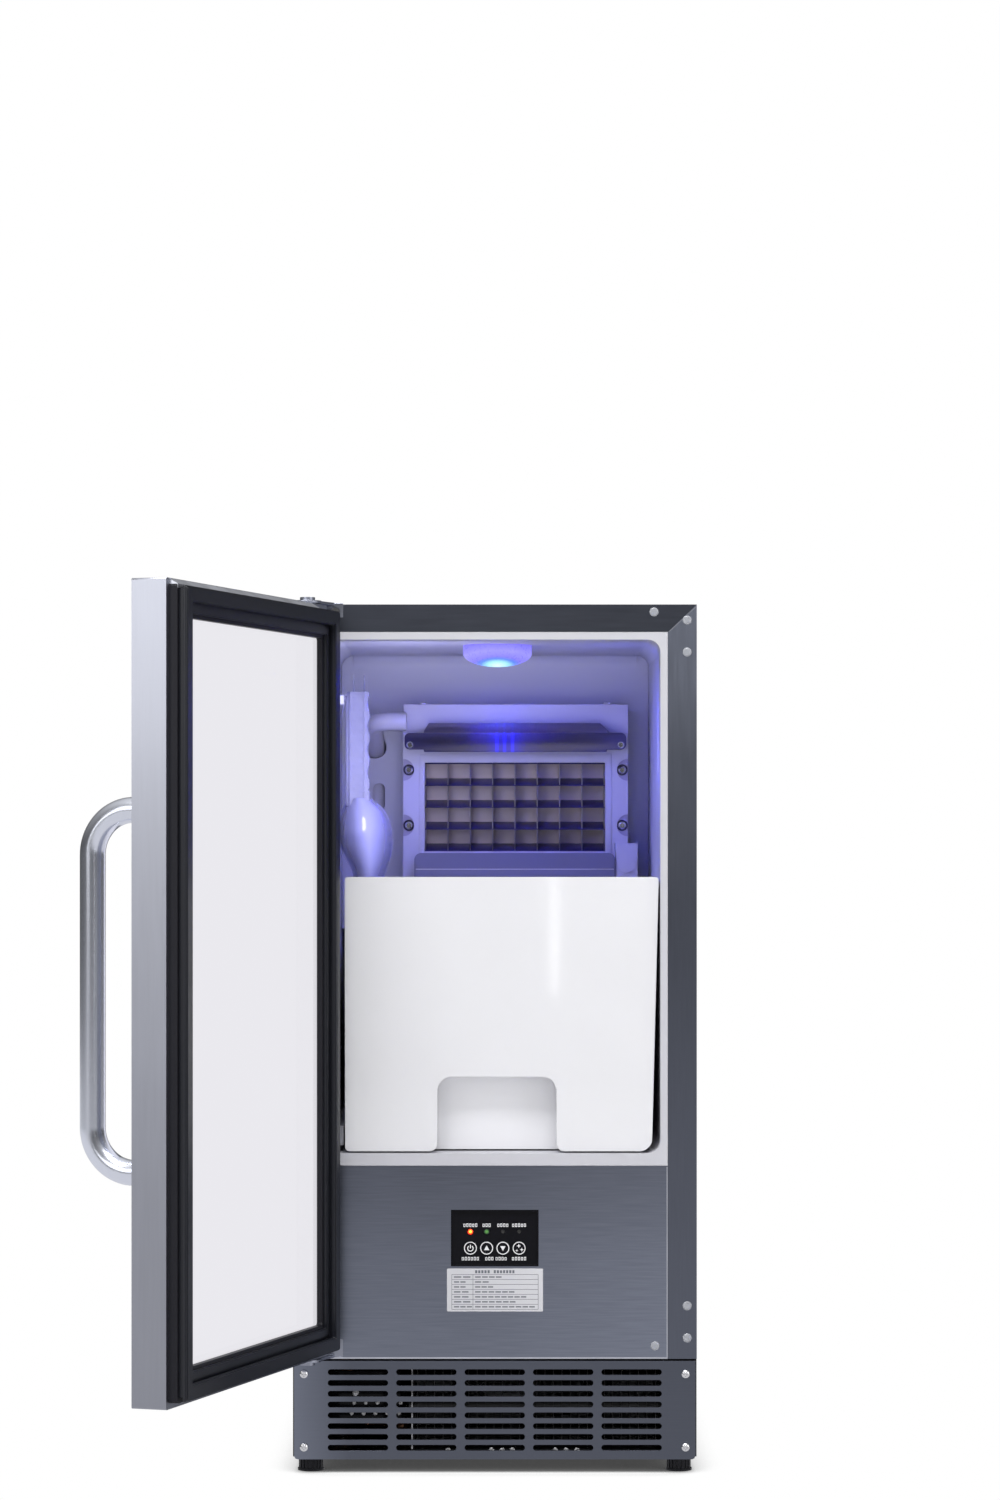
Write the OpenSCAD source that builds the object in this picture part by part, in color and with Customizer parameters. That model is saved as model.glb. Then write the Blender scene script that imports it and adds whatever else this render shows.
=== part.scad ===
// Built-in ice maker with a glass door that stands open, its ice bin and its refrigeration parts.
// X runs to the right, Y runs into the cabinet and Z runs up. The origin is on the floor, midway
// across the cabinet, in the plane of the cabinet's front face.

/* [Cabinet] */
// Width of the cabinet
cab_w = 378; // [374:1:382]
// Height of the cabinet above the floor
cab_h = 813; // [810:1:820]
// Depth of the cabinet from its front face to its back
cab_d = 551; // [545:1:570]
// Height of the cabinet's underside above the floor
floor_gap = 13.2; // [13.2:0.1:14]
// Thickness of the outer sheet metal
sheet_t = 1.2; // [1:0.1:1.5]
// Width of the front frame's side bands
band_w = 27; // [26:0.5:28]
// Height of the front frame's top band
band_top = 25.6; // [25:0.1:26]

/* [Ice compartment] */
// Width of the ice compartment between its side walls
room_w = 310; // [308:1:312]
// Height of the ice compartment's floor above the floor of the kitchen
room_z0 = 299.4; // [299:0.1:300]
// Height of the ice compartment's ceiling above the floor of the kitchen
room_z1 = 780.2; // [780:0.1:781]
// Depth of the ice compartment
room_d = 500; // [490:1:505]
// Distance from the front face to the bulkhead behind the evaporator
bulkhead_y = 285; // [284:1:290]

/* [Door] */
// Angle by which the door stands open
door_angle = 108.26; // [0:0.01:115]
// Height of the door's lower edge above the floor
door_z0 = 112.8; // [112.5:0.1:113]
// Height of the door's upper edge above the floor
door_z1 = 810.8; // [810.5:0.1:811]
// Distance from the cabinet's middle to the hinge axis, on the left
hinge_x = 173.6; // [173.4:0.1:174]
// Distance of the hinge axis in front of the cabinet
hinge_y = 30.8; // [30.8:0.1:31.2]
// Diameter of the handle tube
handle_d = 22; // [20:1:24]
// Distance between the two ends of the handle, centre to centre
handle_span = 308; // [280:1:320]

/* [Ice grid] */
// Number of ice cells across
cells_x = 8; // [4:1:8]
// Number of ice cells up
cells_z = 4; // [2:1:4]
// Width of one ice cell
cell_w = 22.4; // [20:0.1:22.4]
// Height of one ice cell
cell_h = 22; // [20:0.1:22]

/* [Toe grille] */
// Number of slot columns
slot_cols = 5; // [3:1:5]
// Number of slot rows
slot_rows = 8; // [4:1:8]
// Length of one slot
slot_l = 56.5; // [50:0.5:58]
// Height of one slot
slot_h = 5.4; // [4:0.1:6]

/* [Hidden] */
$fn = 48;

half_w = cab_w / 2;
half_room = room_w / 2;
band_t = 4;
inner_half = half_w - sheet_t;
band_x = half_w - band_w;
band_z0 = 107.2;
band_z1 = cab_h - band_top;
liner_t = 2;
panel_z1 = 288;
panel_t = 1.5;
grille_z1 = 105.3;
grille_t = 2.5;
grille_half = half_w - 1.2;
pan_z0 = floor_gap + 0.3;
pan_z1 = pan_z0 + 2;
foot_x = 173;
foot_y_front = 25;
foot_y_rear = 525;
stem_r = 4;
running_gap = 0.05;
room_r = 12;
foam_z0 = 272;
service_y = 470;
service_x = [-100, -80, 60, 100];
service_r = [6, 6, 9, 5];

// Distance of the outer front faces of the door's layers from the cabinet's front face
door_y0 = -49.2;
door_y1 = -17.65;
frame_y1 = -9.65;
gasket_y1 = -1.2;
pane_t = 4;
window_in = 32.5;
glass_in = 24.2;
jamb_y = -39.1;
pin_r = 4;
bush_r = 7;
block_h = 22;
upper_block = door_z1 - 1.4;
lower_block = door_z0 + 1.4;
flange_t = 2.5;
upper_flange_z = 811.9;
lower_flange_z = 108.8;

// Hinge screws of the left side and plugged holes of the right side, as [distance from the
// middle, height]
screw_spots = [[149, 806], [180, 798.4], [180, 768.5], [180, 156.8], [180, 126.8], [150, 119.4]];
grille_spots = [[178.5, 93], [178.5, 24.5]];

button_pitch = 15.2;
button_z = 210.6;
lens_z = 226;
button_r = 6.1;
bezel_half = 40.8;
bezel_z0 = 194;
bezel_z1 = 246.5;
bezel_face_y = 3;

grid_x0 = -69.8;
grid_z0 = 582.5;
grid_y0 = 238;
grid_y1 = 262;
grid_t = 1;
cell_drop = 7.3;
grid_w = cells_x * cell_w;
grid_h = cells_z * cell_h;
house_x0 = -91.7;
house_x1 = 132.4;
house_z0 = 540;
house_z1 = 727.4;
house_y = 235;
pocket_z = [608.5, 663.8];
pocket_screw_x = [-85.9, 126.6];
tab_x = [-71.8, 113.5];
cover_screw_x = [-84.3, 124.6];
cover_screw_z = 688;
hose_r = 9;
hose_z = 711.5;
hose_hole = [-121, 688];
tube_hole = [-117.2, 637.5];
tail_x = -62;
coil_y = 269;
coil_pitch = 22;
coil_runs = 4;
coil_z0 = 595;
sump_z0 = 512;
sump_z1 = 581;
sump_y = 204;
pump_x = 5;
pump_z = 524;

bin_y0 = 6;
bin_y1 = 430;
bin_t = 3;
bin_top = 558;
bin_low = 498;
bin_z0 = room_z0 + 1.6;

fan_x = 46;
fan_z = 138;
fan_r = 92;
motor_y = 118;

comp = [-95, 425];
discharge_end = [[comp[0], comp[1] - 20, 160], [-92, 400, 200]];
suction_end = [[comp[0] + 20, comp[1] + 25, 163], [service_x[0], service_y, 190]];
discharge_r = 3.6;
suction_r = 5;

// Shapes drawn as seen from the front, with X across and Z up, between two depths
module facing(y0, y1) {
    translate([0, y1, 0]) rotate([90, 0, 0]) linear_extrude(y1 - y0) children();
}

// Shapes drawn as seen from the side, with Y across and Z up, between two places along X
module along_x(x0, x1) {
    translate([x0, 0, 0]) rotate([90, 0, 90]) linear_extrude(x1 - x0) children();
}

// Shapes drawn as seen from above, between two heights
module rising(z0, z1) {
    translate([0, 0, z0]) linear_extrude(z1 - z0) children();
}

module rect(x0, x1, z0, z1) {
    translate([x0, z0]) square([x1 - x0, z1 - z0]);
}

module round_rect(x0, x1, z0, z1, r) {
    rect(x0 + r, x1 - r, z0, z1);
    rect(x0, x1, z0 + r, z1 - r);
    for (x = [x0 + r, x1 - r], z = [z0 + r, z1 - r]) translate([x, z]) circle(r);
}

module box(low, high) {
    translate(low) cube(high - low);
}

// A cylinder that runs along Y
module pin_y(x, z, y0, y1, r) {
    translate([x, y1, z]) rotate([90, 0, 0]) cylinder(h = y1 - y0, r = r);
}

// A round rod from one point to the next
module rod(a, b, r) {
    v = b - a;
    len = norm(v);
    translate(a) rotate([0, acos(v[2] / len), atan2(v[1], v[0])]) cylinder(h = len, r = r);
}

// A pipe through a list of points, with a swelled joint at each corner
module pipe_run(points, r) {
    for (i = [0:len(points) - 2]) rod(points[i], points[i + 1], r);
    for (i = [1:1:len(points) - 2]) translate(points[i]) rotate([31, 17, 0])
        sphere(r * 1.25);
}

// The recess of a cross-head screw whose head faces the front at depth y
module cross_recess(x, z, y, size, depth) {
    translate([x, y + depth / 2, z]) for (a = [0, 90])
        rotate([0, a, 0]) cube([size, depth, size / 4.5], center = true);
}

module pan_screw(x, z, y, head_r = 4, length = 8) {
    difference() {
        union() {
            translate([x, y, z]) rotate([90, 0, 0]) cylinder(h = 1.4, r = head_r);
            translate([x, y - 1.4, z]) rotate([90, 0, 0])
                cylinder(h = 0.9, r1 = head_r, r2 = head_r * 0.6);
            pin_y(x, z, y, y + length, 2);
        }
        cross_recess(x, z, y - 2.4, head_r * 1.15, 1.7);
    }
}

// ---------- Cabinet ----------

module base_pan() {
    color("silver") difference() {
        union() {
            box([-inner_half + 0.2, 12, pan_z0], [inner_half - 0.2, cab_d - 2, pan_z1]);
            for (s = [-1, 1]) {
                translate([s * (inner_half - 1.2), 0, 0])
                    box([-1, 12, pan_z0], [1, cab_d - 2, pan_z0 + 26]);
                // Upright ears that carry the toe grille
                translate([s * 176.5, 0, 0]) box([-10.5, grille_t + 0.1, pan_z0], [10.5, 4.6, 104]);
                translate([s * 176.5, 0, 0]) box([-10.5, grille_t + 0.1, pan_z0], [10.5, 14, pan_z1]);
                for (y = [foot_y_front, foot_y_rear])
                    translate([s * foot_x, y, pan_z0]) cylinder(h = 12, r = 8);
            }
        }
        for (s = [-1, 1]) {
            for (y = [foot_y_front, foot_y_rear])
                translate([s * foot_x, y, 0]) cylinder(h = 60, r = stem_r + running_gap);
            for (p = grille_spots) pin_y(s * p[0], p[1], 0, 6, 2.1);
        }
    }
}

module outer_wrapper() {
    color("dimgray") difference() {
        box([-half_w, band_t, 15], [half_w, cab_d - sheet_t, cab_h]);
        box([-inner_half, 0, 0], [inner_half, cab_d, cab_h - sheet_t]);
    }
}

module back_panel() {
    color("darkgray") difference() {
        box([-half_w, cab_d - sheet_t, 15], [half_w, cab_d, cab_h]);
        pin_y(130, 200, cab_d - 5, cab_d + 5, 14);
        pin_y(60, 60, cab_d - 5, cab_d + 5, 8.5);
        pin_y(-130, 60, cab_d - 5, cab_d + 5, 8.5);
        // Air outlet slots
        for (row = [0:9]) facing(cab_d - 5, cab_d + 5)
            round_rect(-70, 90, 110 + row * 12, 115 + row * 12, 2.4);
    }
}

module foot(x, y) {
    color("black") translate([x, y, 0]) {
        difference() {
            union() {
                cylinder(h = 13, r = 11.5);
                cylinder(h = 2, r = 12.5);
            }
            for (a = [0:20:359]) rotate(a) translate([10.7, -0.8, 2.6]) cube([3, 1.6, 20]);
        }
        translate([0, 0, 13]) cylinder(h = 32, r = stem_r);
    }
}

module foot_front_left() { foot(-foot_x, foot_y_front); }
module foot_front_right() { foot(foot_x, foot_y_front); }
module foot_rear_left() { foot(-foot_x, foot_y_rear); }
module foot_rear_right() { foot(foot_x, foot_y_rear); }

module hinge_plate_sketch(grow) {
    // Upper leg runs along the top edge, and both legs meet in the corner
    rect(-half_w - grow, -142 + grow, 801 - grow, upper_flange_z + flange_t + grow);
    rect(-half_w - grow, -171 + grow, 760 - grow, 802);
    // Lower plate
    rect(-half_w - grow, -142 + grow, lower_flange_z - grow, 125.5 + grow);
    rect(-half_w - grow, -171 + grow, 125, 166 + grow);
}

// Holes for the hinge screws on the left and their plugged twins on the right
module hinge_holes(r) {
    for (s = [-1, 1], p = screw_spots) pin_y(s * p[0], p[1], -1, band_t + 2, r);
}

module frame_top() {
    color("dimgray") difference() {
        facing(0, band_t) polygon([
            [-half_w, cab_h], [half_w, cab_h], [band_x, band_z1], [-band_x, band_z1]
        ]);
        facing(-1, flange_t) hinge_plate_sketch(0.1);
        hinge_holes(3);
    }
}

module side_band() {
    difference() {
        facing(0, band_t) polygon([
            [-half_w, band_z0], [-band_x, band_z0], [-band_x, band_z1 - 0.1], [-half_w, cab_h - 0.1]
        ]);
        hinge_holes(3);
    }
}

module frame_left() {
    color("dimgray") difference() {
        side_band();
        facing(-1, flange_t) hinge_plate_sketch(0.1);
    }
}

module frame_right() { color("dimgray") mirror([1, 0, 0]) side_band(); }

module lower_front_panel() {
    color("slategray") difference() {
        union() {
            facing(0, panel_t) rect(-band_x + 0.2, band_x - 0.2, band_z0, panel_z1 - 0.2);
            // Folded edges
            facing(panel_t, 12) difference() {
                rect(-band_x + 0.2, band_x - 0.2, band_z0, panel_z1 - 0.2);
                rect(-band_x + 1.4, band_x - 1.4, band_z0 + 1.2, panel_z1 - 1.4);
            }
        }
        facing(-1, 6) hinge_plate_sketch(0.1);
        facing(-1, 6) rect(-bezel_half - 0.2, bezel_half + 0.2, bezel_z0 - 0.2, bezel_z1 + 0.2);
        hinge_holes(3);
    }
}

module slot_sketch() {
    rect(-slot_l / 2 + slot_h / 2, slot_l / 2 - slot_h / 2, -slot_h / 2, slot_h / 2);
    for (s = [-1, 1]) translate([s * (slot_l - slot_h) / 2, 0]) circle(slot_h / 2);
}

module toe_grille() {
    pitch_x = 64;
    pitch_z = 10.1;
    first_z = 94.8;
    color("slategray") difference() {
        union() {
            facing(0, grille_t) {
                round_rect(-grille_half, grille_half, floor_gap, grille_z1, 4);
                rect(-grille_half, grille_half, grille_z1 - 10, grille_z1);
            }
            facing(grille_t, 12) rect(-grille_half + 25, grille_half - 25, grille_z1 - 1.2, grille_z1);
        }
        facing(-1, grille_t + 1) for (c = [0:slot_cols - 1], r = [0:slot_rows - 1])
            translate([(c - (slot_cols - 1) / 2) * pitch_x, first_z - r * pitch_z]) slot_sketch();
        for (s = [-1, 1], p = grille_spots) pin_y(s * p[0], p[1], -1, 5, 2.2);
    }
}

// Cross-head screws of the grille, the distributor cover and the evaporator housing
module pan_screws() {
    color("silver") {
        for (s = [-1, 1], p = grille_spots) pan_screw(s * p[0], p[1], 0);
        for (x = cover_screw_x) pan_screw(x, cover_screw_z, sump_y + 10, 3.5);
        for (x = pocket_screw_x, z = pocket_z) pan_screw(x, z, house_y + 2, 4, 6);
    }
}

module hole_plugs() {
    color("white") for (p = screw_spots) {
        translate([p[0], 0, p[1]]) rotate([90, 0, 0]) cylinder(h = 0.4, r = 4.25);
        translate([p[0], -0.4, p[1]]) rotate([90, 0, 0]) cylinder(h = 0.5, r1 = 4.25, r2 = 2.6);
        pin_y(p[0], p[1], 0, 3.6, 2.9);
    }
}

module liner() {
    color("white") {
        difference() {
            union() {
                facing(0, liner_t) rect(-band_x + 0.2, band_x - 0.2, panel_z1, band_z1 - 0.2);
                facing(0, room_d + liner_t) round_rect(
                    -half_room - liner_t, half_room + liner_t,
                    room_z0 - liner_t, room_z1 + liner_t, room_r + liner_t);
            }
            facing(-1, room_d) round_rect(-half_room, half_room, room_z0, room_z1, room_r);
            // Shallow keyway in the right wall
            along_x(half_room - 1, half_room + 1.2) round_rect(50, 62, 654, 734, 5.9);
            for (i = [0:len(service_x) - 1])
                translate([service_x[i], service_y, room_z0 - 20]) cylinder(h = 40, r = service_r[i]);
        }
        // Guide rib that keeps the ice bin off the left wall
        box([-half_room - 0.5, 24, room_z0 + 6], [-half_room + 12.8, bin_y1, room_z0 + 24]);
    }
}

module insulation() {
    color("khaki") difference() {
        box([-inner_half + 0.2, band_t + 0.2, foam_z0], [inner_half - 0.2, 549.6, cab_h - 1.4]);
        facing(0, room_d + liner_t + 0.2) round_rect(
            -half_room - liner_t - 0.2, half_room + liner_t + 0.2,
            room_z0 - liner_t - 0.2, room_z1 + liner_t + 0.2, room_r + liner_t + 0.2);
        facing(0, 12.2) rect(-band_x, band_x, 260, panel_z1);
        for (i = [0:len(service_x) - 1])
            translate([service_x[i], service_y, foam_z0 - 10]) cylinder(h = 60, r = service_r[i]);
    }
}

// ---------- Hinges ----------

module hinge_leaf(flange_z, leg_z0, leg_z1, side_z0, side_z1) {
    union() {
        facing(0, flange_t) {
            rect(-half_w, -142, leg_z0, leg_z1);
            rect(-half_w, -171, side_z0, side_z1);
        }
        rising(flange_z, flange_z + flange_t) {
            polygon([
                [-half_w, flange_t], [-150, flange_t], [-150, -4],
                [-hinge_x + 12.2, -hinge_y + 4], [-hinge_x, -hinge_y], [-half_w, -hinge_y]
            ]);
            translate([-hinge_x, -hinge_y]) circle(13);
        }
    }
}

module hinge_cuts(spots) {
    for (i = spots) {
        p = screw_spots[i];
        pin_y(-p[0], p[1], -1, 5, 2.1);
        translate([-p[0], 2.1, p[1]]) rotate([90, 0, 0]) cylinder(h = 2.2, r1 = 2.1, r2 = 4.3);
    }
    translate([-hinge_x, -hinge_y, 60]) cylinder(h = 800, r = pin_r);
}

module hinge_upper() {
    color("gainsboro") difference() {
        hinge_leaf(upper_flange_z, 801, upper_flange_z + flange_t, 760, 802);
        hinge_cuts([0, 1, 2]);
    }
}

module hinge_lower() {
    color("gainsboro") difference() {
        hinge_leaf(lower_flange_z, lower_flange_z, 125.5, 125, 166);
        hinge_cuts([3, 4, 5]);
    }
}

module hinge_pins() {
    head_r = 7;
    head_h = 3.1;
    reach = 22;
    color("silver") translate([-hinge_x, -hinge_y, 0]) {
        translate([0, 0, upper_flange_z - reach]) cylinder(h = reach + flange_t, r = pin_r);
        translate([0, 0, upper_flange_z + flange_t]) difference() {
            cylinder(h = head_h, r = head_r);
            translate([0, 0, head_h - 1.6]) cylinder(h = 2, r = 3, $fn = 6);
        }
        translate([0, 0, lower_flange_z]) cylinder(h = reach + flange_t, r = pin_r);
        translate([0, 0, lower_flange_z - head_h]) cylinder(h = head_h, r = head_r);
    }
}

module hinge_screws() {
    color("silver") for (p = screw_spots) difference() {
        union() {
            translate([-p[0], 2, p[1]]) rotate([90, 0, 0]) cylinder(h = 2, r1 = 2, r2 = 4);
            pin_y(-p[0], p[1], 2, band_t, 2);
        }
        cross_recess(-p[0], p[1], -0.1, 4.4, 1.3);
    }
}

// ---------- Controls ----------

module control_holes(y0, y1, hole_r, lens_r) {
    for (i = [0:3]) {
        x = (i - 1.5) * button_pitch;
        pin_y(x, button_z, y0, y1, hole_r);
        pin_y(x, lens_z, y0, y1, lens_r);
    }
}

module control_bezel() {
    wall = 1.2;
    color("black") difference() {
        union() {
            facing(0.2, 24) rect(-bezel_half, bezel_half, bezel_z0, bezel_z1);
            facing(panel_t + 0.1, 3) rect(-bezel_half - 5, bezel_half + 5, bezel_z0 - 5, bezel_z1 + 5);
        }
        facing(0, bezel_face_y)
            rect(-bezel_half + wall, bezel_half - wall, bezel_z0 + wall, bezel_z1 - wall);
        facing(bezel_face_y + 2, 30)
            rect(-bezel_half + wall, bezel_half - wall, bezel_z0 + wall, bezel_z1 - wall);
        control_holes(-1, 10, button_r + 0.35, 2);
    }
}

module push_button(i) {
    color("black") {
        x = (i - 1.5) * button_pitch;
        pin_y(x, button_z, bezel_face_y - 0.8, bezel_face_y + 3.5, button_r);
        pin_y(x, button_z, bezel_face_y + 3.5, 15, 2.5);
    }
}

module button_power() { push_button(0); }
module button_size_up() { push_button(1); }
module button_size_down() { push_button(2); }
module button_clean() { push_button(3); }

module indicator_lenses() {
    color("orange") for (i = [0:3]) {
        x = (i - 1.5) * button_pitch;
        pin_y(x, lens_z, bezel_face_y - 0.3, bezel_face_y + 6, 1.95);
    }
}

module control_board() {
    color("darkgreen") {
        facing(20, 21.6) rect(-bezel_half + 1.5, bezel_half - 1.5, bezel_z0 + 1.5, bezel_z1 - 1.5);
        for (i = [0:3]) {
            x = (i - 1.5) * button_pitch;
            facing(16.6, 20) rect(x - 3, x + 3, button_z - 3, button_z + 3);
            pin_y(x, button_z, 16, 16.6, 1.7);
            pin_y(x, lens_z, 10, 20, 2.4);
        }
    }
}

module info_label() { color("whitesmoke") facing(-0.25, 0) round_rect(-44.7, 45.1, 151.6, 191.8, 1); }

// ---------- Ice compartment ----------

module lamp_lens() {
    color("lightcyan") translate([2.5, 100, 759.5]) difference() {
        union() {
            cylinder(h = room_z1 - 759.5, r = 31);
            translate([0, 0, 17]) cylinder(h = room_z1 - 776.5, r = 33);
        }
        translate([0, 0, 1.8]) cylinder(h = 30, r = 29.2);
    }
}

module lamp_board() {
    color("green") translate([2.5, 100, 772]) difference() {
        union() {
            cylinder(h = 1.6, r = 27);
            for (a = [0:60:300]) rotate(a) translate([16, -2.5, -1.5]) cube([5, 5, 1.6]);
            cylinder(h = room_z1 - 772, r = 4);
        }
        for (a = [30, 210]) rotate(a) translate([22, 0, -1]) cylinder(h = 4, r = 1.6);
    }
}

module bulkhead() {
    cove = 12;
    top = room_z1 - 0.2;
    side = half_room - 0.4;
    color("white") difference() {
        union() {
            facing(bulkhead_y, bulkhead_y + 2) {
                rect(-side, side, 505, top - room_r);
                round_rect(-side, side, 600, top, room_r);
            }
            box([-side, bulkhead_y, 505], [side, bulkhead_y + 24, 507]);
            // Rounded cove between the ceiling and the bulkhead
            along_x(-side + room_r, side - room_r) difference() {
                rect(bulkhead_y - cove, bulkhead_y, top - cove, top);
                translate([bulkhead_y - cove, top - cove]) circle(cove);
            }
        }
        pin_y(hose_hole[0], hose_hole[1], 280, 290, hose_r + 2.6);
        facing(280, 290) translate(tube_hole) {
            for (z = [-8, 8]) translate([0, z]) circle(6);
            square([12, 16], center = true);
        }
        pin_y(pump_x, pump_z, 280, 290, 7);
        for (z = [coil_z0, coil_z0 + (coil_runs - 1) * coil_pitch]) pin_y(tail_x, z, 280, 290, 5);
    }
}

module evaporator_housing() {
    wall = 3;
    grid_x1 = grid_x0 + grid_w;
    color("white") difference() {
        union() {
            facing(house_y, bulkhead_y - 0.2) round_rect(house_x0, house_x1, house_z0, house_z1, 8);
            for (x = tab_x)
                box([x - 3.5, house_y + 1, house_z1 - 1], [x + 3.5, house_y + 7, house_z1 + 1.8]);
        }
        facing(house_y + 4, bulkhead_y + 1)
            round_rect(house_x0 + wall, house_x1 - wall, house_z0 + wall, house_z1 - wall, 6);
        facing(house_y - 1, house_y + 5)
            round_rect(grid_x0 - 2, grid_x1 + 2, grid_z0 - 3, grid_z0 + grid_h + 3, 3);
        for (x = [house_x0, house_x1], z = pocket_z) pin_y(x, z, house_y - 1, house_y + 2, 11);
        for (x = pocket_screw_x, z = pocket_z) pin_y(x, z, house_y, house_y + 6, 2.05);
    }
}

module evaporator_grid() {
    grid_x1 = grid_x0 + grid_w;
    color("peru") union() {
        facing(grid_y1, grid_y1 + 2) rect(grid_x0, grid_x1, grid_z0 - 1, grid_z0 + grid_h + cell_drop + 1);
        for (i = [0:cells_x]) {
            x = grid_x0 + (grid_w - grid_t) * i / cells_x;
            facing(grid_y0, grid_y1) rect(x, x + grid_t, grid_z0 - 0.5, grid_z0 + grid_h + grid_t / 2);
        }
        for (j = [0:cells_z]) {
            z = grid_z0 + (grid_h - grid_t) * j / cells_z;
            along_x(grid_x0, grid_x1) polygon([
                [grid_y0, z], [grid_y1 + 0.5, z + cell_drop],
                [grid_y1 + 0.5, z + cell_drop + grid_t], [grid_y0, z + grid_t]
            ]);
        }
    }
}

// Cooling tube in flat turns behind the grid, with both ends through the bulkhead
module evaporator_coil() {
    r = 4;
    turn = coil_pitch / 2;
    left = tail_x + 12;
    right = 96;
    top = coil_z0 + (coil_runs - 1) * coil_pitch;
    color("peru") union() {
        for (i = [0:coil_runs - 1])
            rod([left, coil_y, coil_z0 + i * coil_pitch], [right, coil_y, coil_z0 + i * coil_pitch], r);
        for (i = [0:coil_runs - 2]) {
            x = i % 2 == 0 ? right : left;
            side = i % 2 == 0 ? -90 : 90;
            translate([x, coil_y, coil_z0 + i * coil_pitch + turn]) rotate([90, 0, 0])
                rotate(side) rotate_extrude(angle = 180) translate([turn, 0]) circle(r);
        }
        for (z = [coil_z0, top])
            pipe_run([[left, coil_y, z], [tail_x, coil_y, z], [tail_x, bulkhead_y + 15, z]], r);
    }
}

module distributor_cover() {
    y0 = sump_y + 10;
    color("gray") difference() {
        union() {
            facing(y0, house_y - 0.2) round_rect(-89.7, 130, 683.5, 700, 5);
            facing(y0, house_y - 0.2) rect(-70.6, 110.9, 681.2, 690);
            facing(y0 + 1.5, house_y - 0.2) polygon([
                [-72, 697], [115, 697], [115, 702], [104.5, 709.8], [-61.5, 709.8], [-72, 702]
            ]);
        }
        facing(y0 + 3, house_y + 1) rect(-79, 119, 685.5, 698);
        for (x = cover_screw_x) pin_y(x, cover_screw_z, y0 - 1, y0 + 12, 2);
    }
}

// White hose that feeds the distributor, and the fill tube from the water valve
module water_hoses() {
    feed_y = 225;
    hole_x = hose_hole[0];
    slope = (hose_z - hose_hole[1] - 2) / (bulkhead_y - feed_y);
    tail_y = 330;
    tail_z = hose_z - (tail_y - feed_y) * slope;
    color("white") {
        pipe_run([[-88, feed_y, hose_z], [hole_x, feed_y, hose_z], [hole_x, tail_y, tail_z],
                  [hole_x + 4, 308, 640], [hole_x + 4, 312, 585], [-60, 345, 560], [-24, 345, 548]],
                 hose_r);
        pipe_run([[100, 510, 215], [100, 510, 240], [100, service_y, 262],
                  [100, service_y, 590], [60, 330, 600]], 4);
    }
}

module water_sump() {
    color("ghostwhite") difference() {
        union() {
            facing(sump_y, house_y - 0.4) round_rect(-79.8, 118.9, sump_z0, sump_z1, 9);
            facing(sump_y - 1.2, sump_y) round_rect(-79.8, 118.9, 565.6, sump_z1, 7);
            pin_y(pump_x, pump_z, 230, bulkhead_y + 13, 5.5);
        }
        facing(sump_y + 2.5, house_y - 2.9) {
            round_rect(-77.3, 116.4, sump_z0 + 2.5, sump_z1 - 8, 7);
            rect(-70, 109, 560, sump_z1 + 5);
        }
        pin_y(pump_x, pump_z, 225, bulkhead_y + 14, 3.8);
    }
}

module circulation_pump() {
    color("dimgray") union() {
        translate([pump_x, 325, 511]) cylinder(h = 24, r = 27);
        translate([pump_x, 325, 535]) cylinder(h = 42, r = 22);
        translate([pump_x, 325, 577]) cylinder(h = 6, r1 = 22, r2 = 16);
        rod([pump_x, 325, 548], [-34, 345, 548], 5);
    }
}

// Thermostat bulb bracket beside the sump, fixed to the bulkhead, with the bulb's round holder
module thermostat_bracket() {
    color("whitesmoke") {
        difference() {
            union() {
                box([119.3, 206, 557], [141, 234.6, 590.5]);
                box([137, 230, 557], [141, bulkhead_y - 0.1, 590.5]);
            }
            box([121.5, 208.5, 554], [138.5, 240, 588]);
        }
        pin_y(130, 571, 204.4, 207, 9.5);
    }
}

module scoop_hook() {
    bar = [-147.2, 727];
    color("white") union() {
        translate([bar[0], 77, bar[1]]) rotate([-90, 0, 0]) cylinder(h = 30, r = 2.5);
        for (y = [74, 106]) box([-half_room, y, bar[1] - 4], [bar[0] + 3, y + 4, bar[1] + 4]);
    }
}

// Outline of the scoop's bowl from the front and from the side, crossed into one shape
module scoop_bowl(front, side) {
    intersection() {
        facing(50, 145) polygon(front);
        along_x(-156, -94) polygon(side);
    }
}

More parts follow.
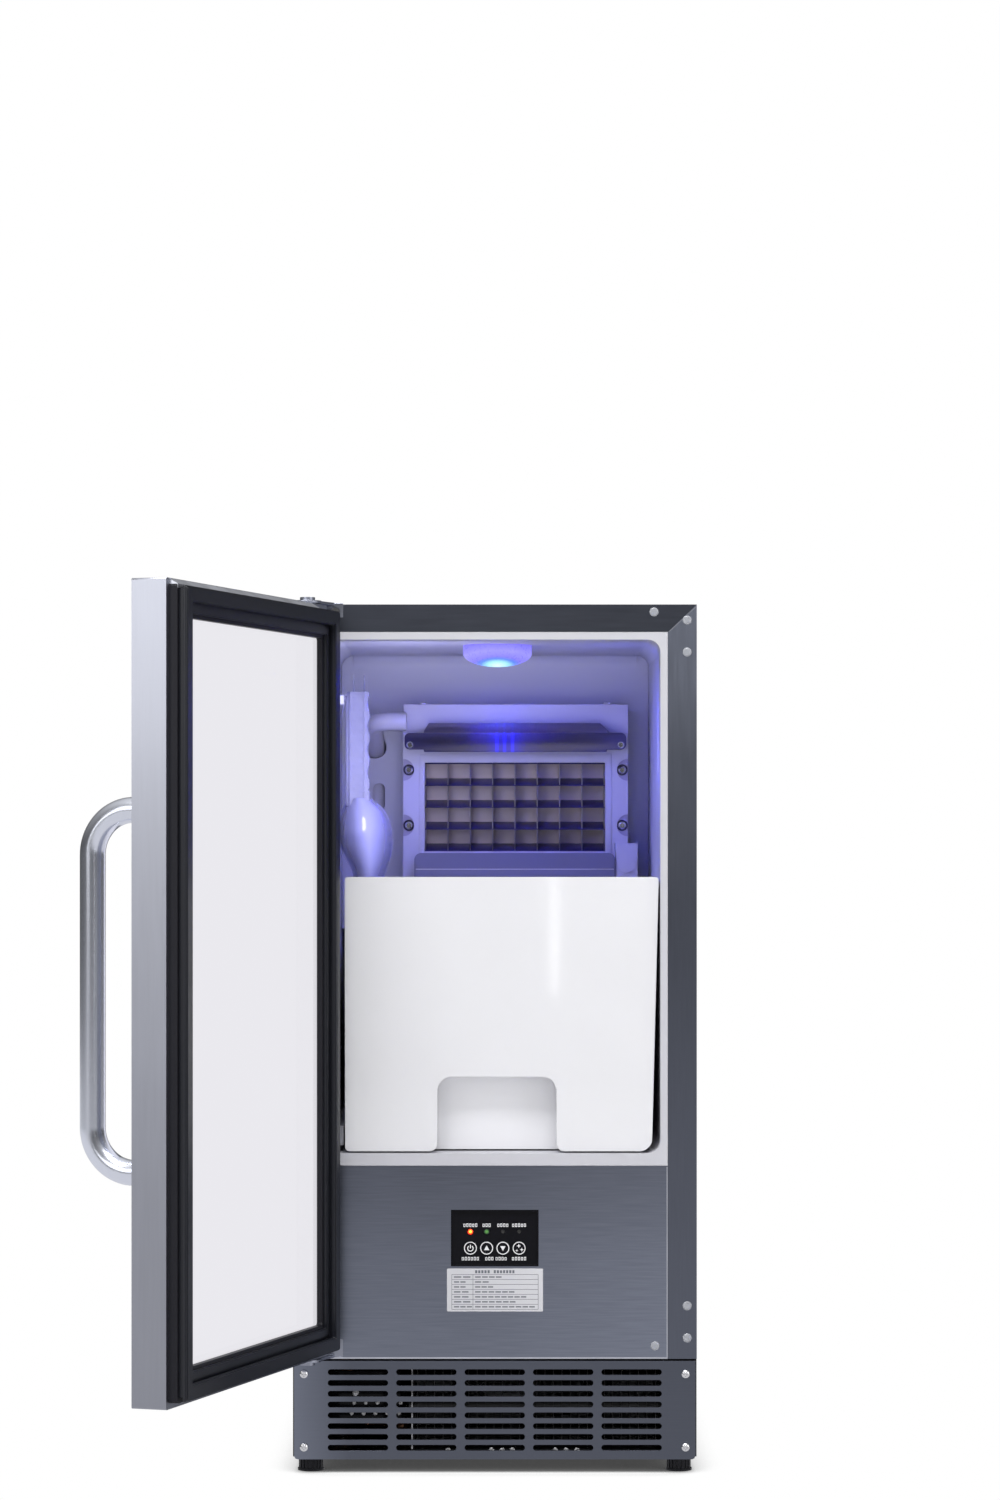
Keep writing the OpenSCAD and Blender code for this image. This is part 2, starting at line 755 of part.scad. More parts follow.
module scoop() {
    grip = -120;
    color("aliceblue") difference() {
        union() {
            facing(81, 103) round_rect(-143, grip, 622, 735, 6);
            // Lip that hangs over the hook's bar
            box([-153.4, 84, 712], [-150.6, 100, 733]);
            box([-153.4, 84, 730.2], [-140, 100, 733]);
            scoop_bowl(
                [[-133, 515], [-111, 515], [-107.5, 540], [-104.2, 561], [-98.8, 586], [-98, 598],
                 [-101.6, 612], [-108.6, 625], [-117, 632], [-141, 632], [-147, 624], [-151, 610],
                 [-152, 598], [-150, 586], [-136, 562.5]],
                [[80, 632], [66, 618], [56, 600], [56, 530], [62, 515], [84, 515], [128, 592],
                 [122, 612], [104, 632]]);
        }
        scoop_bowl(
            [[-130.8, 505], [-113.2, 505], [-109.7, 540.5], [-106.4, 561.4], [-101, 586.3],
             [-100.2, 597.8], [-103.6, 610.8], [-110, 623.2], [-117.7, 629.8], [-140.1, 629.8],
             [-145.2, 622.7], [-148.9, 609.4], [-149.8, 598], [-147.9, 586.8], [-133.8, 563]],
            [[80.9, 629.8], [68, 616.8], [58.2, 599.4], [58.2, 530.5], [64.4, 514.5], [64.4, 505],
             [140, 505], [140, 592], [125.5, 592], [119.8, 611.2], [103, 629.8]]);
        // Finger scallops and flutes in the grip
        for (z = [649, 673, 697, 721]) pin_y(grip + 12, z, 70, 110, 15);
        for (x = [-137.5, -132]) box([x, 79, 650], [x + 2, 82.5, 724]);
    }
}

// The bin's outline from the front, rounded most at its lower right corner
module bin_sketch() {
    hull() {
        translate([-140.2 + 4, bin_z0 + 4]) circle(4);
        translate([147.5 - 12, bin_z0 + 12]) circle(12);
        translate([-140.6 + 3, bin_top - 3]) circle(3);
        translate([153.6 - 3, bin_top - 3]) circle(3);
    }
}

module ice_bin() {
    low = bin_z0;
    grip_d = 28;
    color("white") difference() {
        union() {
            difference() {
                facing(bin_y0, bin_y1) bin_sketch();
                facing(bin_y0 + bin_t, bin_y1 - bin_t) polygon([
                    [-137.2, low + bin_t], [135.5, low + bin_t], [144.4, low + 12],
                    [151.5, bin_top + 40], [-137.7, bin_top + 40]
                ]);
            }
            facing(bin_y0 + 1, bin_y0 + grip_d + 2.5) rect(-56.5, 60.5, low, 373.5);
        }
        facing(bin_y0 - 1, bin_y0 + grip_d) {
            round_rect(-54, 58, 290, 371, 14);
            // Flared feet of the grip's arch
            for (s = [-1, 1]) translate([2 + s * 56, low]) difference() {
                translate([-7, -1]) square([14, 8]);
                translate([s * 7, 7]) circle(7);
            }
        }
        // The rear part is lower, to pass beneath the sump and the bulkhead
        along_x(-200, 200) polygon([
            [150, bin_top + 50], [150, bin_top], [195, bin_low], [bin_y1 + 9, bin_low],
            [bin_y1 + 9, bin_top + 50]
        ]);
    }
}

// ---------- Machine compartment ----------

module compressor() {
    color("black") difference() {
        translate([comp[0], comp[1], 0]) union() {
            translate([0, 0, 30]) rotate_extrude() difference() {
                round_rect(-54, 54, 0, 138, 26);
                rect(-60, 0, -10, 200);
            }
            translate([0, 0, 92]) cylinder(h = 4, r = 57);
            translate([0, 0, 29]) cylinder(h = 3, r = 50);
            for (a = [45:90:315]) rotate(a) translate([40, -12, 29]) cube([38, 24, 3]);
            translate([30, -18, 90]) cube([34, 36, 40]);
        }
        rod(discharge_end[0], discharge_end[1], discharge_r + running_gap);
        rod(suction_end[0], suction_end[1], suction_r + running_gap);
    }
}

module compressor_mounts() {
    color("dimgray") translate([comp[0], comp[1], pan_z1]) for (a = [45:90:315]) rotate(a)
        translate([68, 0, 0]) cylinder(h = 29 - pan_z1, r = 8);
}

module condenser() {
    x0 = -77;
    x1 = 162;
    fin_pitch = 8;
    color("black") union() {
        for (x = [x0 + 4:fin_pitch:x1 - 4]) box([x, 24, 22], [x + 0.6, 64, 252]);
        for (z = [34:26:246], y = [34, 54]) rod([x0 - 4, y, z], [x1 + 4, y, z], 3.6);
        for (x = [x0, x1]) box([x - 1, 20, 18], [x + 1, 68, 256]);
        for (z = [18, 254]) box([x0, 20, z], [x1, 68, z + 2]);
    }
}

module fan_shroud() {
    color("dimgray") {
        difference() {
            union() {
                facing(70, 73) rect(-79, 167, 18, 256);
                pin_y(fan_x, fan_z, 71, 100, fan_r + 6);
            }
            pin_y(fan_x, fan_z, 60, 101, fan_r + 3);
        }
        facing(112, 118) translate([fan_x, fan_z]) difference() {
            circle(r = 38);
            circle(r = 32);
        }
        translate([fan_x, 0, fan_z]) for (a = [0:120:240]) rotate([0, a + 30, 0])
            along_x(-4, 4) polygon([[112, 35], [118, 35], [118, 97.5], [90, 97.5], [90, 94], [112, 94]]);
    }
}

module fan_motor() {
    color("silver") difference() {
        union() {
            pin_y(fan_x, fan_z, motor_y - 6, motor_y + 46, 32);
            pin_y(fan_x, fan_z, motor_y - 12, motor_y - 5, 12);
        }
        pin_y(fan_x, fan_z, motor_y - 13, motor_y + 20, stem_r + running_gap);
    }
}

module fan_blade() {
    color("lightgray") {
        pin_y(fan_x, fan_z, 80, motor_y + 18, stem_r);
        pin_y(fan_x, fan_z, 78, 100, 22);
        translate([fan_x, 89, fan_z]) for (a = [0:72:288]) rotate([0, a, 0])
            translate([18, 0, 0]) rotate([28, 0, 0]) translate([0, -1, -24]) cube([72, 2, 44]);
    }
}

// Discharge, liquid and suction lines, with the filter drier in the liquid line
module refrigerant_lines() {
    back = service_y;
    suction = service_x[0];
    feed = service_x[1];
    top = coil_z0 + (coil_runs - 1) * coil_pitch;
    color("peru") {
        pipe_run([discharge_end[0], discharge_end[1], [-84, 200, 215], [-84, 54, 225]], discharge_r);
        pipe_run([[-84, 34, 40], [-120, 60, 40], [-150, 120, 40], [-150, 200, 60]], discharge_r);
        rod([-150, 200, 60], [-150, 290, 90], 10);
        pipe_run([[-150, 290, 90], [-150, 330, 110], [-150, back, 200], [feed, back, 240],
                  [feed, back, coil_z0 - 30], [tail_x, 320, coil_z0], [tail_x, bulkhead_y + 15.2, coil_z0]],
                 3);
        pipe_run([[tail_x, bulkhead_y + 15.2, top], [tail_x, 380, top], [suction, back, top - 20],
                  suction_end[1], suction_end[0]], suction_r);
    }
}

module electrical_box() {
    color("silver") difference() {
        box([60, 400, pan_z1], [165, 500, 120]);
        box([61.2, 401.2, pan_z1 - 1], [163.8, 498.8, 118.8]);
    }
}

module water_valve() {
    color("white") difference() {
        union() {
            box([112, 508, 184], [150, 548, 218]);
            pin_y(130, 200, 540, cab_d + 14, 13.2);
            translate([130, 528, 218]) cylinder(h = 34, r = 15);
        }
        pin_y(130, 200, 530, cab_d + 20, 9);
    }
}

// Bin drain: a pipe down to a collar on the back panel, and the spigot that takes the drain hose
module drain_outlet() {
    dx = service_x[2];
    collar_y = cab_d + 4;
    color("gray") difference() {
        union() {
            pipe_run([[dx, service_y, room_z0 - 8], [dx, service_y, 180], [dx, 525, 120],
                      [dx, 525, 60], [dx, collar_y - 2, 60]], 7.4);
            translate([dx, service_y, room_z0 - 12]) cylinder(h = 12, r = 8.6);
            pin_y(dx, 60, cab_d, collar_y, 12);
            pin_y(dx, 60, cab_d, cab_d + 27, 8);
        }
        rod([dx, cab_d - 15, 60], [dx, cab_d + 30, 60], 6);
    }
}

module cord_gland() {
    color("black") difference() {
        union() {
            pin_y(-130, 60, cab_d - 6, cab_d, 8.4);
            pin_y(-130, 60, cab_d, cab_d + 10, 12);
            pin_y(-130, 60, cab_d - 10, cab_d - sheet_t, 11);
        }
        pin_y(-130, 60, cab_d - 20, cab_d + 20, 4.5);
    }
}

// ---------- Door, drawn closed and then swung open about the hinge axis ----------

module swung() {
    translate([-hinge_x, -hinge_y, 0]) rotate([0, 0, -door_angle])
        translate([hinge_x, hinge_y, 0]) children();
}

// The door's outline from the front, drawn in from its edge
module door_sketch(inset, r = 0.6) {
    round_rect(-half_w + inset, half_w - inset, door_z0 + inset, door_z1 - inset, r);
}

module door_ring(outer, inner, r = 1) {
    difference() {
        door_sketch(outer, r);
        door_sketch(inner, r);
    }
}

module hinge_block(z0, z1, gap = 0) {
    box([-half_w + 1.4 - gap, door_y0 + 1.4 - gap, z0 - gap], [-140 + gap, door_y1 - 1.4 + gap, z1 + gap]);
}

module door_pan() {
    color("lightgray") swung() difference() {
        union() {
            difference() {
                facing(door_y0, door_y1) door_sketch(0, 1.5);
                facing(door_y0 + sheet_t, door_y1 - sheet_t) door_sketch(sheet_t);
                facing(door_y1 - 2, door_y1 + 1) door_sketch(8.1);
            }
            facing(door_y0 + 0.6, jamb_y) door_ring(window_in + 0.3, window_in + 1.5);
        }
        facing(door_y0 - 1, jamb_y + 1) door_sketch(window_in + 1.5);
        translate([-hinge_x, -hinge_y, 100]) cylinder(h = 20, r = bush_r);
        translate([-hinge_x, -hinge_y, 800]) cylinder(h = 20, r = bush_r);
    }
}

module door_inner_frame() {
    color("black") swung() difference() {
        union() {
            facing(door_y1, frame_y1) door_sketch(5.2, 2);
            facing(jamb_y + 0.2, door_y1) door_sketch(8.2);
        }
        facing(jamb_y - 1, door_y1 + 2.7) door_sketch(glass_in - 0.1);
        facing(jamb_y - 1, 0) door_sketch(window_in, 3);
        hinge_block(upper_block - block_h, upper_block, 0.2);
        hinge_block(lower_block, lower_block + block_h, 0.2);
    }
}

module door_gasket() {
    color("dimgray") swung() union() {
        facing(frame_y1, frame_y1 + 1) door_ring(9, 29);
        facing(frame_y1 + 1, -5.2) door_ring(9, 18);
        facing(-5.2, -3.2) door_ring(6.5, 19.8);
        facing(-3.2, -2) door_ring(7.1, 19.4);
        facing(-2, gasket_y1) door_ring(8.2, 18.4);
        facing(frame_y1 + 1, -7.4) door_ring(21.8, 29);
        facing(-7.4, -6.65) door_ring(22.8, 28);
    }
}

module door_glass() {
    inner_y = door_y1 + 2.7;
    color("lightblue") swung() {
        facing(inner_y - pane_t, inner_y) door_sketch(glass_in);
        facing(jamb_y + 0.1, jamb_y + 0.1 + pane_t) door_sketch(glass_in);
    }
}

module glass_spacer() {
    inner_y = door_y1 + 2.7;
    color("silver") swung()
        facing(jamb_y + 0.1 + pane_t, inner_y - pane_t) door_ring(glass_in + 0.3, window_in - 0.6);
}

// Steel blocks in the two hinge corners, each lined with a bush that turns on the hinge pin
module door_hinge_blocks() {
    color("silver") swung() difference() {
        union() {
            hinge_block(upper_block - block_h, upper_block);
            hinge_block(lower_block, lower_block + block_h);
            translate([-hinge_x, -hinge_y, upper_block - 1]) cylinder(h = 2.4, r = bush_r);
            translate([-hinge_x, -hinge_y, door_z1]) cylinder(h = 0.7, r = 9);
            translate([-hinge_x, -hinge_y, door_z0]) cylinder(h = 2.4, r = bush_r);
            translate([-hinge_x, -hinge_y, lower_flange_z + flange_t + 0.35]) cylinder(h = 1.15, r = 9);
        }
        translate([-hinge_x, -hinge_y, 100]) cylinder(h = 720, r = pin_r + running_gap);
    }
}

// Centre line of the handle: out from the door, round a bend, up, and back
module handle_tube(r) {
    x = half_w - 30;
    mid = 462.4;
    reach = -98.2;
    bend = 38;
    low = mid - handle_span / 2;
    high = mid + handle_span / 2;
    for (z = [low, high]) pin_y(x, z, reach + bend, door_y0, r);
    translate([x, reach, low + bend]) cylinder(h = handle_span - 2 * bend, r = r);
    translate([x, reach + bend, low + bend]) rotate([0, 90, 0]) rotate(-90)
        rotate_extrude(angle = 90) translate([bend, 0]) circle(r);
    translate([x, reach + bend, high - bend]) rotate([0, 90, 0]) rotate(180)
        rotate_extrude(angle = 90) translate([bend, 0]) circle(r);
}

module door_handle() {
    color("silver") swung() difference() {
        handle_tube(handle_d / 2);
        handle_tube(handle_d / 2 - 2);
    }
}

base_pan();
outer_wrapper();
back_panel();
frame_top();
frame_left();
frame_right();
lower_front_panel();
toe_grille();
pan_screws();
hole_plugs();
liner();
insulation();
hinge_upper();
hinge_lower();
hinge_pins();
hinge_screws();
control_bezel();
control_board();
indicator_lenses();
info_label();
button_power();
button_size_up();
button_size_down();
button_clean();
lamp_lens();
lamp_board();
bulkhead();
evaporator_housing();
evaporator_grid();
evaporator_coil();
distributor_cover();
water_hoses();
water_sump();
circulation_pump();
thermostat_bracket();
scoop_hook();
scoop();
ice_bin();
compressor();
compressor_mounts();
condenser();
fan_shroud();
fan_motor();
fan_blade();
refrigerant_lines();
electrical_box();
water_valve();
drain_outlet();
cord_gland();
foot_front_left();
foot_front_right();
foot_rear_left();
foot_rear_right();
door_pan();
door_inner_frame();
door_gasket();
door_glass();
glass_spacer();
door_hinge_blocks();
door_handle();
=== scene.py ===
"""Looks of the built-in ice maker: materials, small details, studio and camera."""

import math

import bmesh
import bpy
from mathutils import Matrix, Vector


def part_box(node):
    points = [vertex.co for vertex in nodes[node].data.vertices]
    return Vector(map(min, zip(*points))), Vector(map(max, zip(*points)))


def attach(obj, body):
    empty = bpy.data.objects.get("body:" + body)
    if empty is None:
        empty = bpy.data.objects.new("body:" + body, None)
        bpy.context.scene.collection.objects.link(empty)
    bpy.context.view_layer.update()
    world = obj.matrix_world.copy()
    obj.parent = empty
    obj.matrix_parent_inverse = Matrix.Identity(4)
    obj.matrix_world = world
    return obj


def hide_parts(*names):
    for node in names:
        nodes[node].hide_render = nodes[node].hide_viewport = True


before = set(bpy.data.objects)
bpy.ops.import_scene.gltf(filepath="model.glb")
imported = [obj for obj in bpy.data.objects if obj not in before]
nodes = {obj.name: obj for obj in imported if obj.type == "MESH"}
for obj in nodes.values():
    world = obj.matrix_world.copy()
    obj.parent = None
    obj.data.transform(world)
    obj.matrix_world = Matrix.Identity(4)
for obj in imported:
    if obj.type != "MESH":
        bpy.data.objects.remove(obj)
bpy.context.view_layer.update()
scene = bpy.context.scene

MM = 0.001
CABINET = "cabinet"

# Axes by number
WIDTH = 0
DEPTH = 1
HEIGHT = 2


# ----- camera -----

FOCAL_RATIO = 2.58  # focal length over the length of the frame's long side
SENSOR_MM = 36.0
CAMERA_PLACE = (4.9 * MM, -3620.5 * MM, 573 * MM)
CAMERA_RISE = 0.074  # the object sits low in the frame
CAMERA_REACH = 50  # metres


def add_camera():
    data = bpy.data.cameras.new("camera")
    data.sensor_width = SENSOR_MM
    data.lens = FOCAL_RATIO * SENSOR_MM
    data.shift_y = CAMERA_RISE
    data.clip_end = CAMERA_REACH
    camera = bpy.data.objects.new("camera", data)
    camera.location = CAMERA_PLACE
    camera.rotation_euler = (math.pi / 2, 0, 0)
    scene.collection.objects.link(camera)
    scene.camera = camera


# ----- material helpers -----

NOISE_LOW = 0.3  # noise levels that count as its dark and its light end
NOISE_HIGH = 0.7
CLEAR_IOR = 1.45
PAINTED_SHEEN_STOPS = ((0.35, 0.0), (0.62, 0.75))  # how much painted sheen covers a sheet, by how far it is turned away
UNLIT = (0.05, 0.05, 0.06, 1)
BLACK = (0, 0, 0)


def new_material(name):
    material = bpy.data.materials.new(name)
    material.use_nodes = True
    tree = material.node_tree
    return material, tree, tree.nodes["Principled BSDF"]


def shade(colour, factor):
    return tuple(min(1.0, c * factor) for c in colour)


def noise_fac(tree, scale, detail=3.0, stretch=(1, 1, 1), seed=0.0):
    """Noise in the object's own coordinates, drawn out along the axes whose stretch is small."""
    coords = tree.nodes.new("ShaderNodeTexCoord")
    mapping = tree.nodes.new("ShaderNodeMapping")
    mapping.inputs["Scale"].default_value = stretch
    mapping.inputs["Location"].default_value = (seed, seed * 0.7, seed * 1.3)
    noise = tree.nodes.new("ShaderNodeTexNoise")
    noise.inputs["Scale"].default_value = scale
    noise.inputs["Detail"].default_value = detail
    tree.links.new(coords.outputs["Object"], mapping.inputs["Vector"])
    tree.links.new(mapping.outputs["Vector"], noise.inputs["Vector"])
    return noise.outputs["Fac"]


def ramp(tree, source, *stops):
    """Maps a 0 to 1 source through stops of (place, grey level or colour)."""
    node = tree.nodes.new("ShaderNodeValToRGB")
    elements = node.color_ramp.elements
    while len(elements) < len(stops):
        elements.new(0.5)
    for element, (place, colour) in zip(elements, stops):
        rgb = colour if hasattr(colour, "__len__") else (colour,) * 3
        element.position = place
        element.color = (*rgb, 1)
    tree.links.new(source, node.inputs["Fac"])
    return node.outputs["Color"]


def spread(tree, noise, dark, light):
    """Runs from one grey level or colour at the noise's dark end to another at its light end."""
    return ramp(tree, noise, (NOISE_LOW, dark), (NOISE_HIGH, light))


def multiply(tree, first, second):
    node = tree.nodes.new("ShaderNodeMix")
    node.data_type = "RGBA"
    node.blend_type = "MULTIPLY"
    node.inputs["Factor"].default_value = 1.0
    tree.links.new(first, node.inputs[6])
    tree.links.new(second, node.inputs[7])
    return node.outputs[2]


def mix_shaders(tree, share, first, second):
    """Blends two shaders; the second one's share is a number or the output of a node."""
    node = tree.nodes.new("ShaderNodeMixShader")
    if isinstance(share, float):
        node.inputs["Fac"].default_value = share
    else:
        tree.links.new(share, node.inputs["Fac"])
    tree.links.new(first, node.inputs[1])
    tree.links.new(second, node.inputs[2])
    return node.outputs["Shader"]


def by_ray(tree, lit, mirrored, seen):
    """One shader for soft light, another for what mirrors show and a third for what is seen."""
    path = tree.nodes.new("ShaderNodeLightPath")
    surface = mix_shaders(tree, path.outputs["Is Glossy Ray"], lit, mirrored)
    return mix_shaders(tree, path.outputs["Is Camera Ray"], surface, seen)


def emission(tree, colour):
    node = tree.nodes.new("ShaderNodeEmission")
    if isinstance(colour, tuple):
        node.inputs["Color"].default_value = (*colour, 1)
    else:
        tree.links.new(colour, node.inputs["Color"])
    return node.outputs["Emission"]


def bump(tree, shader, height, strength, distance=0.0002):
    node = tree.nodes.new("ShaderNodeBump")
    node.inputs["Strength"].default_value = strength
    node.inputs["Distance"].default_value = distance
    tree.links.new(height, node.inputs["Height"])
    tree.links.new(node.outputs["Normal"], shader.inputs["Normal"])


def place_along(tree, axis, space="Generated"):
    """Where a point lies along an axis: from 0 to 1 over the piece, or in the object's coordinates."""
    coords = tree.nodes.new("ShaderNodeTexCoord")
    split = tree.nodes.new("ShaderNodeSeparateXYZ")
    tree.links.new(coords.outputs[space], split.inputs["Vector"])
    return split.outputs[axis]


def brushed(name, colour, stretch, rough=(0.26, 0.42), contrast=0.12, grain=60.0, strength=0.1,
            painted_shading=()):
    """Brushed metal: fine streaks along the axis whose stretch is small, and slow changes of tone.

    Painted light and shade is given as a list of axes, each with the stops of brightness along it.
    """
    material, tree, shader = new_material(name)
    shader.inputs["Metallic"].default_value = 1.0
    streaks = noise_fac(tree, grain, 4.0, stretch)
    clouds = noise_fac(tree, 6.0, 2.0, seed=3.0)
    streak_colour = spread(tree, streaks, shade(colour, 1 - contrast), shade(colour, 1 + contrast))
    mixed = multiply(tree, streak_colour, spread(tree, clouds, 0.93, 1.0))
    # painted light and shade: brightness stops along an axis of the piece
    for axis, stops in painted_shading:
        mixed = multiply(tree, mixed, ramp(tree, place_along(tree, axis), *stops))
    tree.links.new(mixed, shader.inputs["Base Color"])
    tree.links.new(spread(tree, streaks, *rough), shader.inputs["Roughness"])
    bump(tree, shader, streaks, strength)
    return material


def metal(name, colour, rough=(0.2, 0.35), scale=40.0, strength=0.05):
    """Plain plated or cast metal with faint mottling."""
    material, tree, shader = new_material(name)
    shader.inputs["Metallic"].default_value = 1.0
    mottle = noise_fac(tree, scale, 4.0)
    mottled = spread(tree, mottle, shade(colour, 0.9), shade(colour, 1.08))
    tree.links.new(mottled, shader.inputs["Base Color"])
    tree.links.new(spread(tree, mottle, *rough), shader.inputs["Roughness"])
    bump(tree, shader, mottle, strength, 0.0003)
    return material


def plastic(name, colour, rough=(0.2, 0.3), grain=900.0, strength=0.03, coat=0.0, vary=0.015,
            specular=0.5):
    """Moulded plastic: a fine grain in the surface and slight unevenness in its gloss."""
    material, tree, shader = new_material(name)
    fine = noise_fac(tree, grain, 2.0)
    broad = noise_fac(tree, 9.0, seed=5.0)
    uneven = spread(tree, broad, shade(colour, 1 - vary), shade(colour, 1 + vary))
    tree.links.new(uneven, shader.inputs["Base Color"])
    tree.links.new(spread(tree, broad, *rough), shader.inputs["Roughness"])
    shader.inputs["Coat Weight"].default_value = coat
    shader.inputs["Specular IOR Level"].default_value = specular
    shader.inputs["Coat Roughness"].default_value = 0.08
    bump(tree, shader, fine, strength)
    return material


def glowing(name, power, stops, centre=(0.5, 0, 0.5)):
    """A lit surface whose colour changes with the distance from an axis along its depth."""
    material, tree, shader = new_material(name)
    coords = tree.nodes.new("ShaderNodeTexCoord")
    flat = tree.nodes.new("ShaderNodeVectorMath")
    flat.operation = "MULTIPLY"
    flat.inputs[1].default_value = (1, 0, 1)
    tree.links.new(coords.outputs["Generated"], flat.inputs[0])
    reach = tree.nodes.new("ShaderNodeVectorMath")
    reach.operation = "DISTANCE"
    reach.inputs[1].default_value = centre
    tree.links.new(flat.outputs["Vector"], reach.inputs[0])
    tree.links.new(ramp(tree, reach.outputs["Value"], *stops), shader.inputs["Emission Color"])
    shader.inputs["Emission Strength"].default_value = power
    shader.inputs["Base Color"].default_value = UNLIT
    tree.links.new(spread(tree, noise_fac(tree, 400.0, 2.0), 0.25, 0.35), shader.inputs["Roughness"])
    return material


def clear(name, tint, mirror_share, rough=0.03, haze=0.0, haze_colour=(0.7, 0.72, 0.85), painted_sheen=None):
    """Thin clear sheet: light goes straight through, a share mirrors at its face, and it may be milky.

    The painted sheen is a pale glow that covers the sheet when it is seen at a slant.
    """
    material, tree, shader = new_material(name)
    through = tree.nodes.new("ShaderNodeBsdfTransparent")
    cloud = noise_fac(tree, 5.0, 2.0)
    tree.links.new(spread(tree, cloud, shade(tint, 0.99), tint), through.inputs["Color"])
    mirror = tree.nodes.new("ShaderNodeBsdfGlossy")
    mirror.inputs["Roughness"].default_value = rough
    fresnel = tree.nodes.new("ShaderNodeFresnel")
    fresnel.inputs["IOR"].default_value = CLEAR_IOR
    share = tree.nodes.new("ShaderNodeMath")
    share.operation = "MULTIPLY"
    share.inputs[1].default_value = mirror_share
    tree.links.new(fresnel.outputs["Fac"], share.inputs[0])
    shader.inputs["Base Color"].default_value = (*haze_colour, 1)
    shader.inputs["Roughness"].default_value = 0.2
    faced = mix_shaders(tree, share.outputs["Value"], through.outputs["BSDF"], mirror.outputs["BSDF"])
    surface = mix_shaders(tree, haze, faced, shader.outputs["BSDF"])
    if painted_sheen:
        slant = tree.nodes.new("ShaderNodeLayerWeight")
        covered = ramp(tree, slant.outputs["Facing"], *PAINTED_SHEEN_STOPS)
        surface = mix_shaders(tree, covered, surface, emission(tree, painted_sheen))
    tree.links.new(surface, tree.nodes["Material Output"].inputs["Surface"])
    return material


def painted_glint_steel(name, colour, power):
    """Polished steel with a painted reflection of the lamp's diodes: three blue streaks that glow."""
    material = brushed(name, colour, ALONG_X, rough=(0.28, 0.3), contrast=0.04, grain=220, strength=0)
    tree = material.node_tree
    shader = tree.nodes["Principled BSDF"]
    place = tree.nodes.new("ShaderNodeMapRange")
    start, end = STREAK_SPAN
    place.inputs["From Min"].default_value = start * MM
    place.inputs["From Max"].default_value = end * MM
    tree.links.new(place_along(tree, WIDTH, "Object"), place.inputs["Value"])
    stops = [(0, BLACK), (0.25, STREAK_HAZE)]
    for x in STREAKS:
        for step, tone in ((-STREAK_HALF, STREAK_SHADE), (0, STREAK_PEAK), (STREAK_HALF, STREAK_SHADE)):
            stops.append(((x + step - start) / (end - start), tone))
    stops += [(0.75, STREAK_HAZE), (1, BLACK)]
    tree.links.new(ramp(tree, place.outputs["Result"], *stops), shader.inputs["Emission Color"])
    shader.inputs["Emission Strength"].default_value = power
    return material


# ----- materials -----

# Painted reflection of the lamp's diodes, glowing on the distributor cover
STREAK_SPAN = (-30, 50)  # mm across the cover over which the painted reflection of the diodes shows
STREAKS = (1.9, 9.4, 17.3)  # mm, the middle of each streak
STREAK_HALF = 2.2
STREAK_PEAK = (0.02, 0.015, 1.2)
STREAK_SHADE = (0.006, 0.004, 0.4)
STREAK_HAZE = (0.012, 0.01, 0.12)

# Stretch of a brushed grain that runs across or up a piece
ALONG_X = (0.1, 1, 2.5)
ALONG_Z = (2.5, 2.5, 0.1)

# One steel for the frame, the lower panel and the grille, drawn darker or lighter part by part: painted
# light and shade
DARK_STEEL = (0.3, 0.325, 0.405)
DOOR_STEEL = (0.66, 0.68, 0.77)

# Settings of each material, by the helper that makes it
BRUSHED = {
    "steel_top": dict(
        colour=shade(DARK_STEEL, 0.55), stretch=ALONG_X, rough=(0.3, 0.34), contrast=0.03, grain=220,
        strength=0.05),
    # painted light and shade on the lower panel: lighter at the right, darker towards the top
    "steel_panel": dict(
        colour=shade(DARK_STEEL, 0.95), stretch=ALONG_X, rough=(0.3, 0.33), contrast=0.08, grain=260,
        strength=0.04, painted_shading=[(WIDTH, ((0, 0.88), (0.45, 0.86), (1, 1.05))),
                              (HEIGHT, ((0, 1.06), (0.5, 1), (1, 0.8)))]),
    # painted highlight growing towards the top of the frame's uprights
    "steel_up": dict(
        colour=shade(DARK_STEEL, 0.8), stretch=ALONG_Z, rough=(0.3, 0.34), contrast=0.03, grain=220,
        strength=0.05, painted_shading=[(HEIGHT, ((0, 0.72), (0.6, 0.72), (0.8, 1.1), (0.9, 1.7), (1, 2)))]),
    # painted highlight at the grille's left end
    "grille_steel": dict(
        colour=shade(DARK_STEEL, 0.6), stretch=ALONG_X, rough=(0.3, 0.36), contrast=0.03, grain=220,
        strength=0.04, painted_shading=[(WIDTH, ((0, 1.5), (0.14, 0.86), (1, 0.8)))]),
    # painted shade: the door's steel darker towards the bottom
    "door_steel": dict(
        colour=DOOR_STEEL, stretch=ALONG_Z, rough=(0.3, 0.34), contrast=0.02, grain=160,
        strength=0.04, painted_shading=[(HEIGHT, ((0, 0.62), (0.5, 0.87), (1, 0.95)))]),
    "chrome": dict(colour=(0.86, 0.89, 1), stretch=ALONG_Z, rough=(0.2, 0.24), contrast=0.02),
}
METALS = {
    # brighter steel for painted highlights on edges
    "rim_steel": dict(colour=(0.75, 0.77, 0.85), rough=(0.3, 0.36)),
    "zinc": dict(colour=(0.62, 0.62, 0.64)),
    "hinge_steel": dict(colour=(0.42, 0.44, 0.52), rough=(0.32, 0.42)),
    "rivet": dict(colour=(0.95, 0.95, 0.97), rough=(0.45, 0.55)),
    "bright": dict(colour=(0.78, 0.78, 0.8), rough=(0.12, 0.2)),
    "washer": dict(colour=(0.08, 0.075, 0.1), rough=(0.3, 0.4)),
    "fins": dict(colour=(0.5, 0.47, 0.5), rough=(0.3, 0.45), scale=90, strength=0.1),
    "copper": dict(colour=(0.7, 0.36, 0.2), rough=(0.25, 0.4)),
}
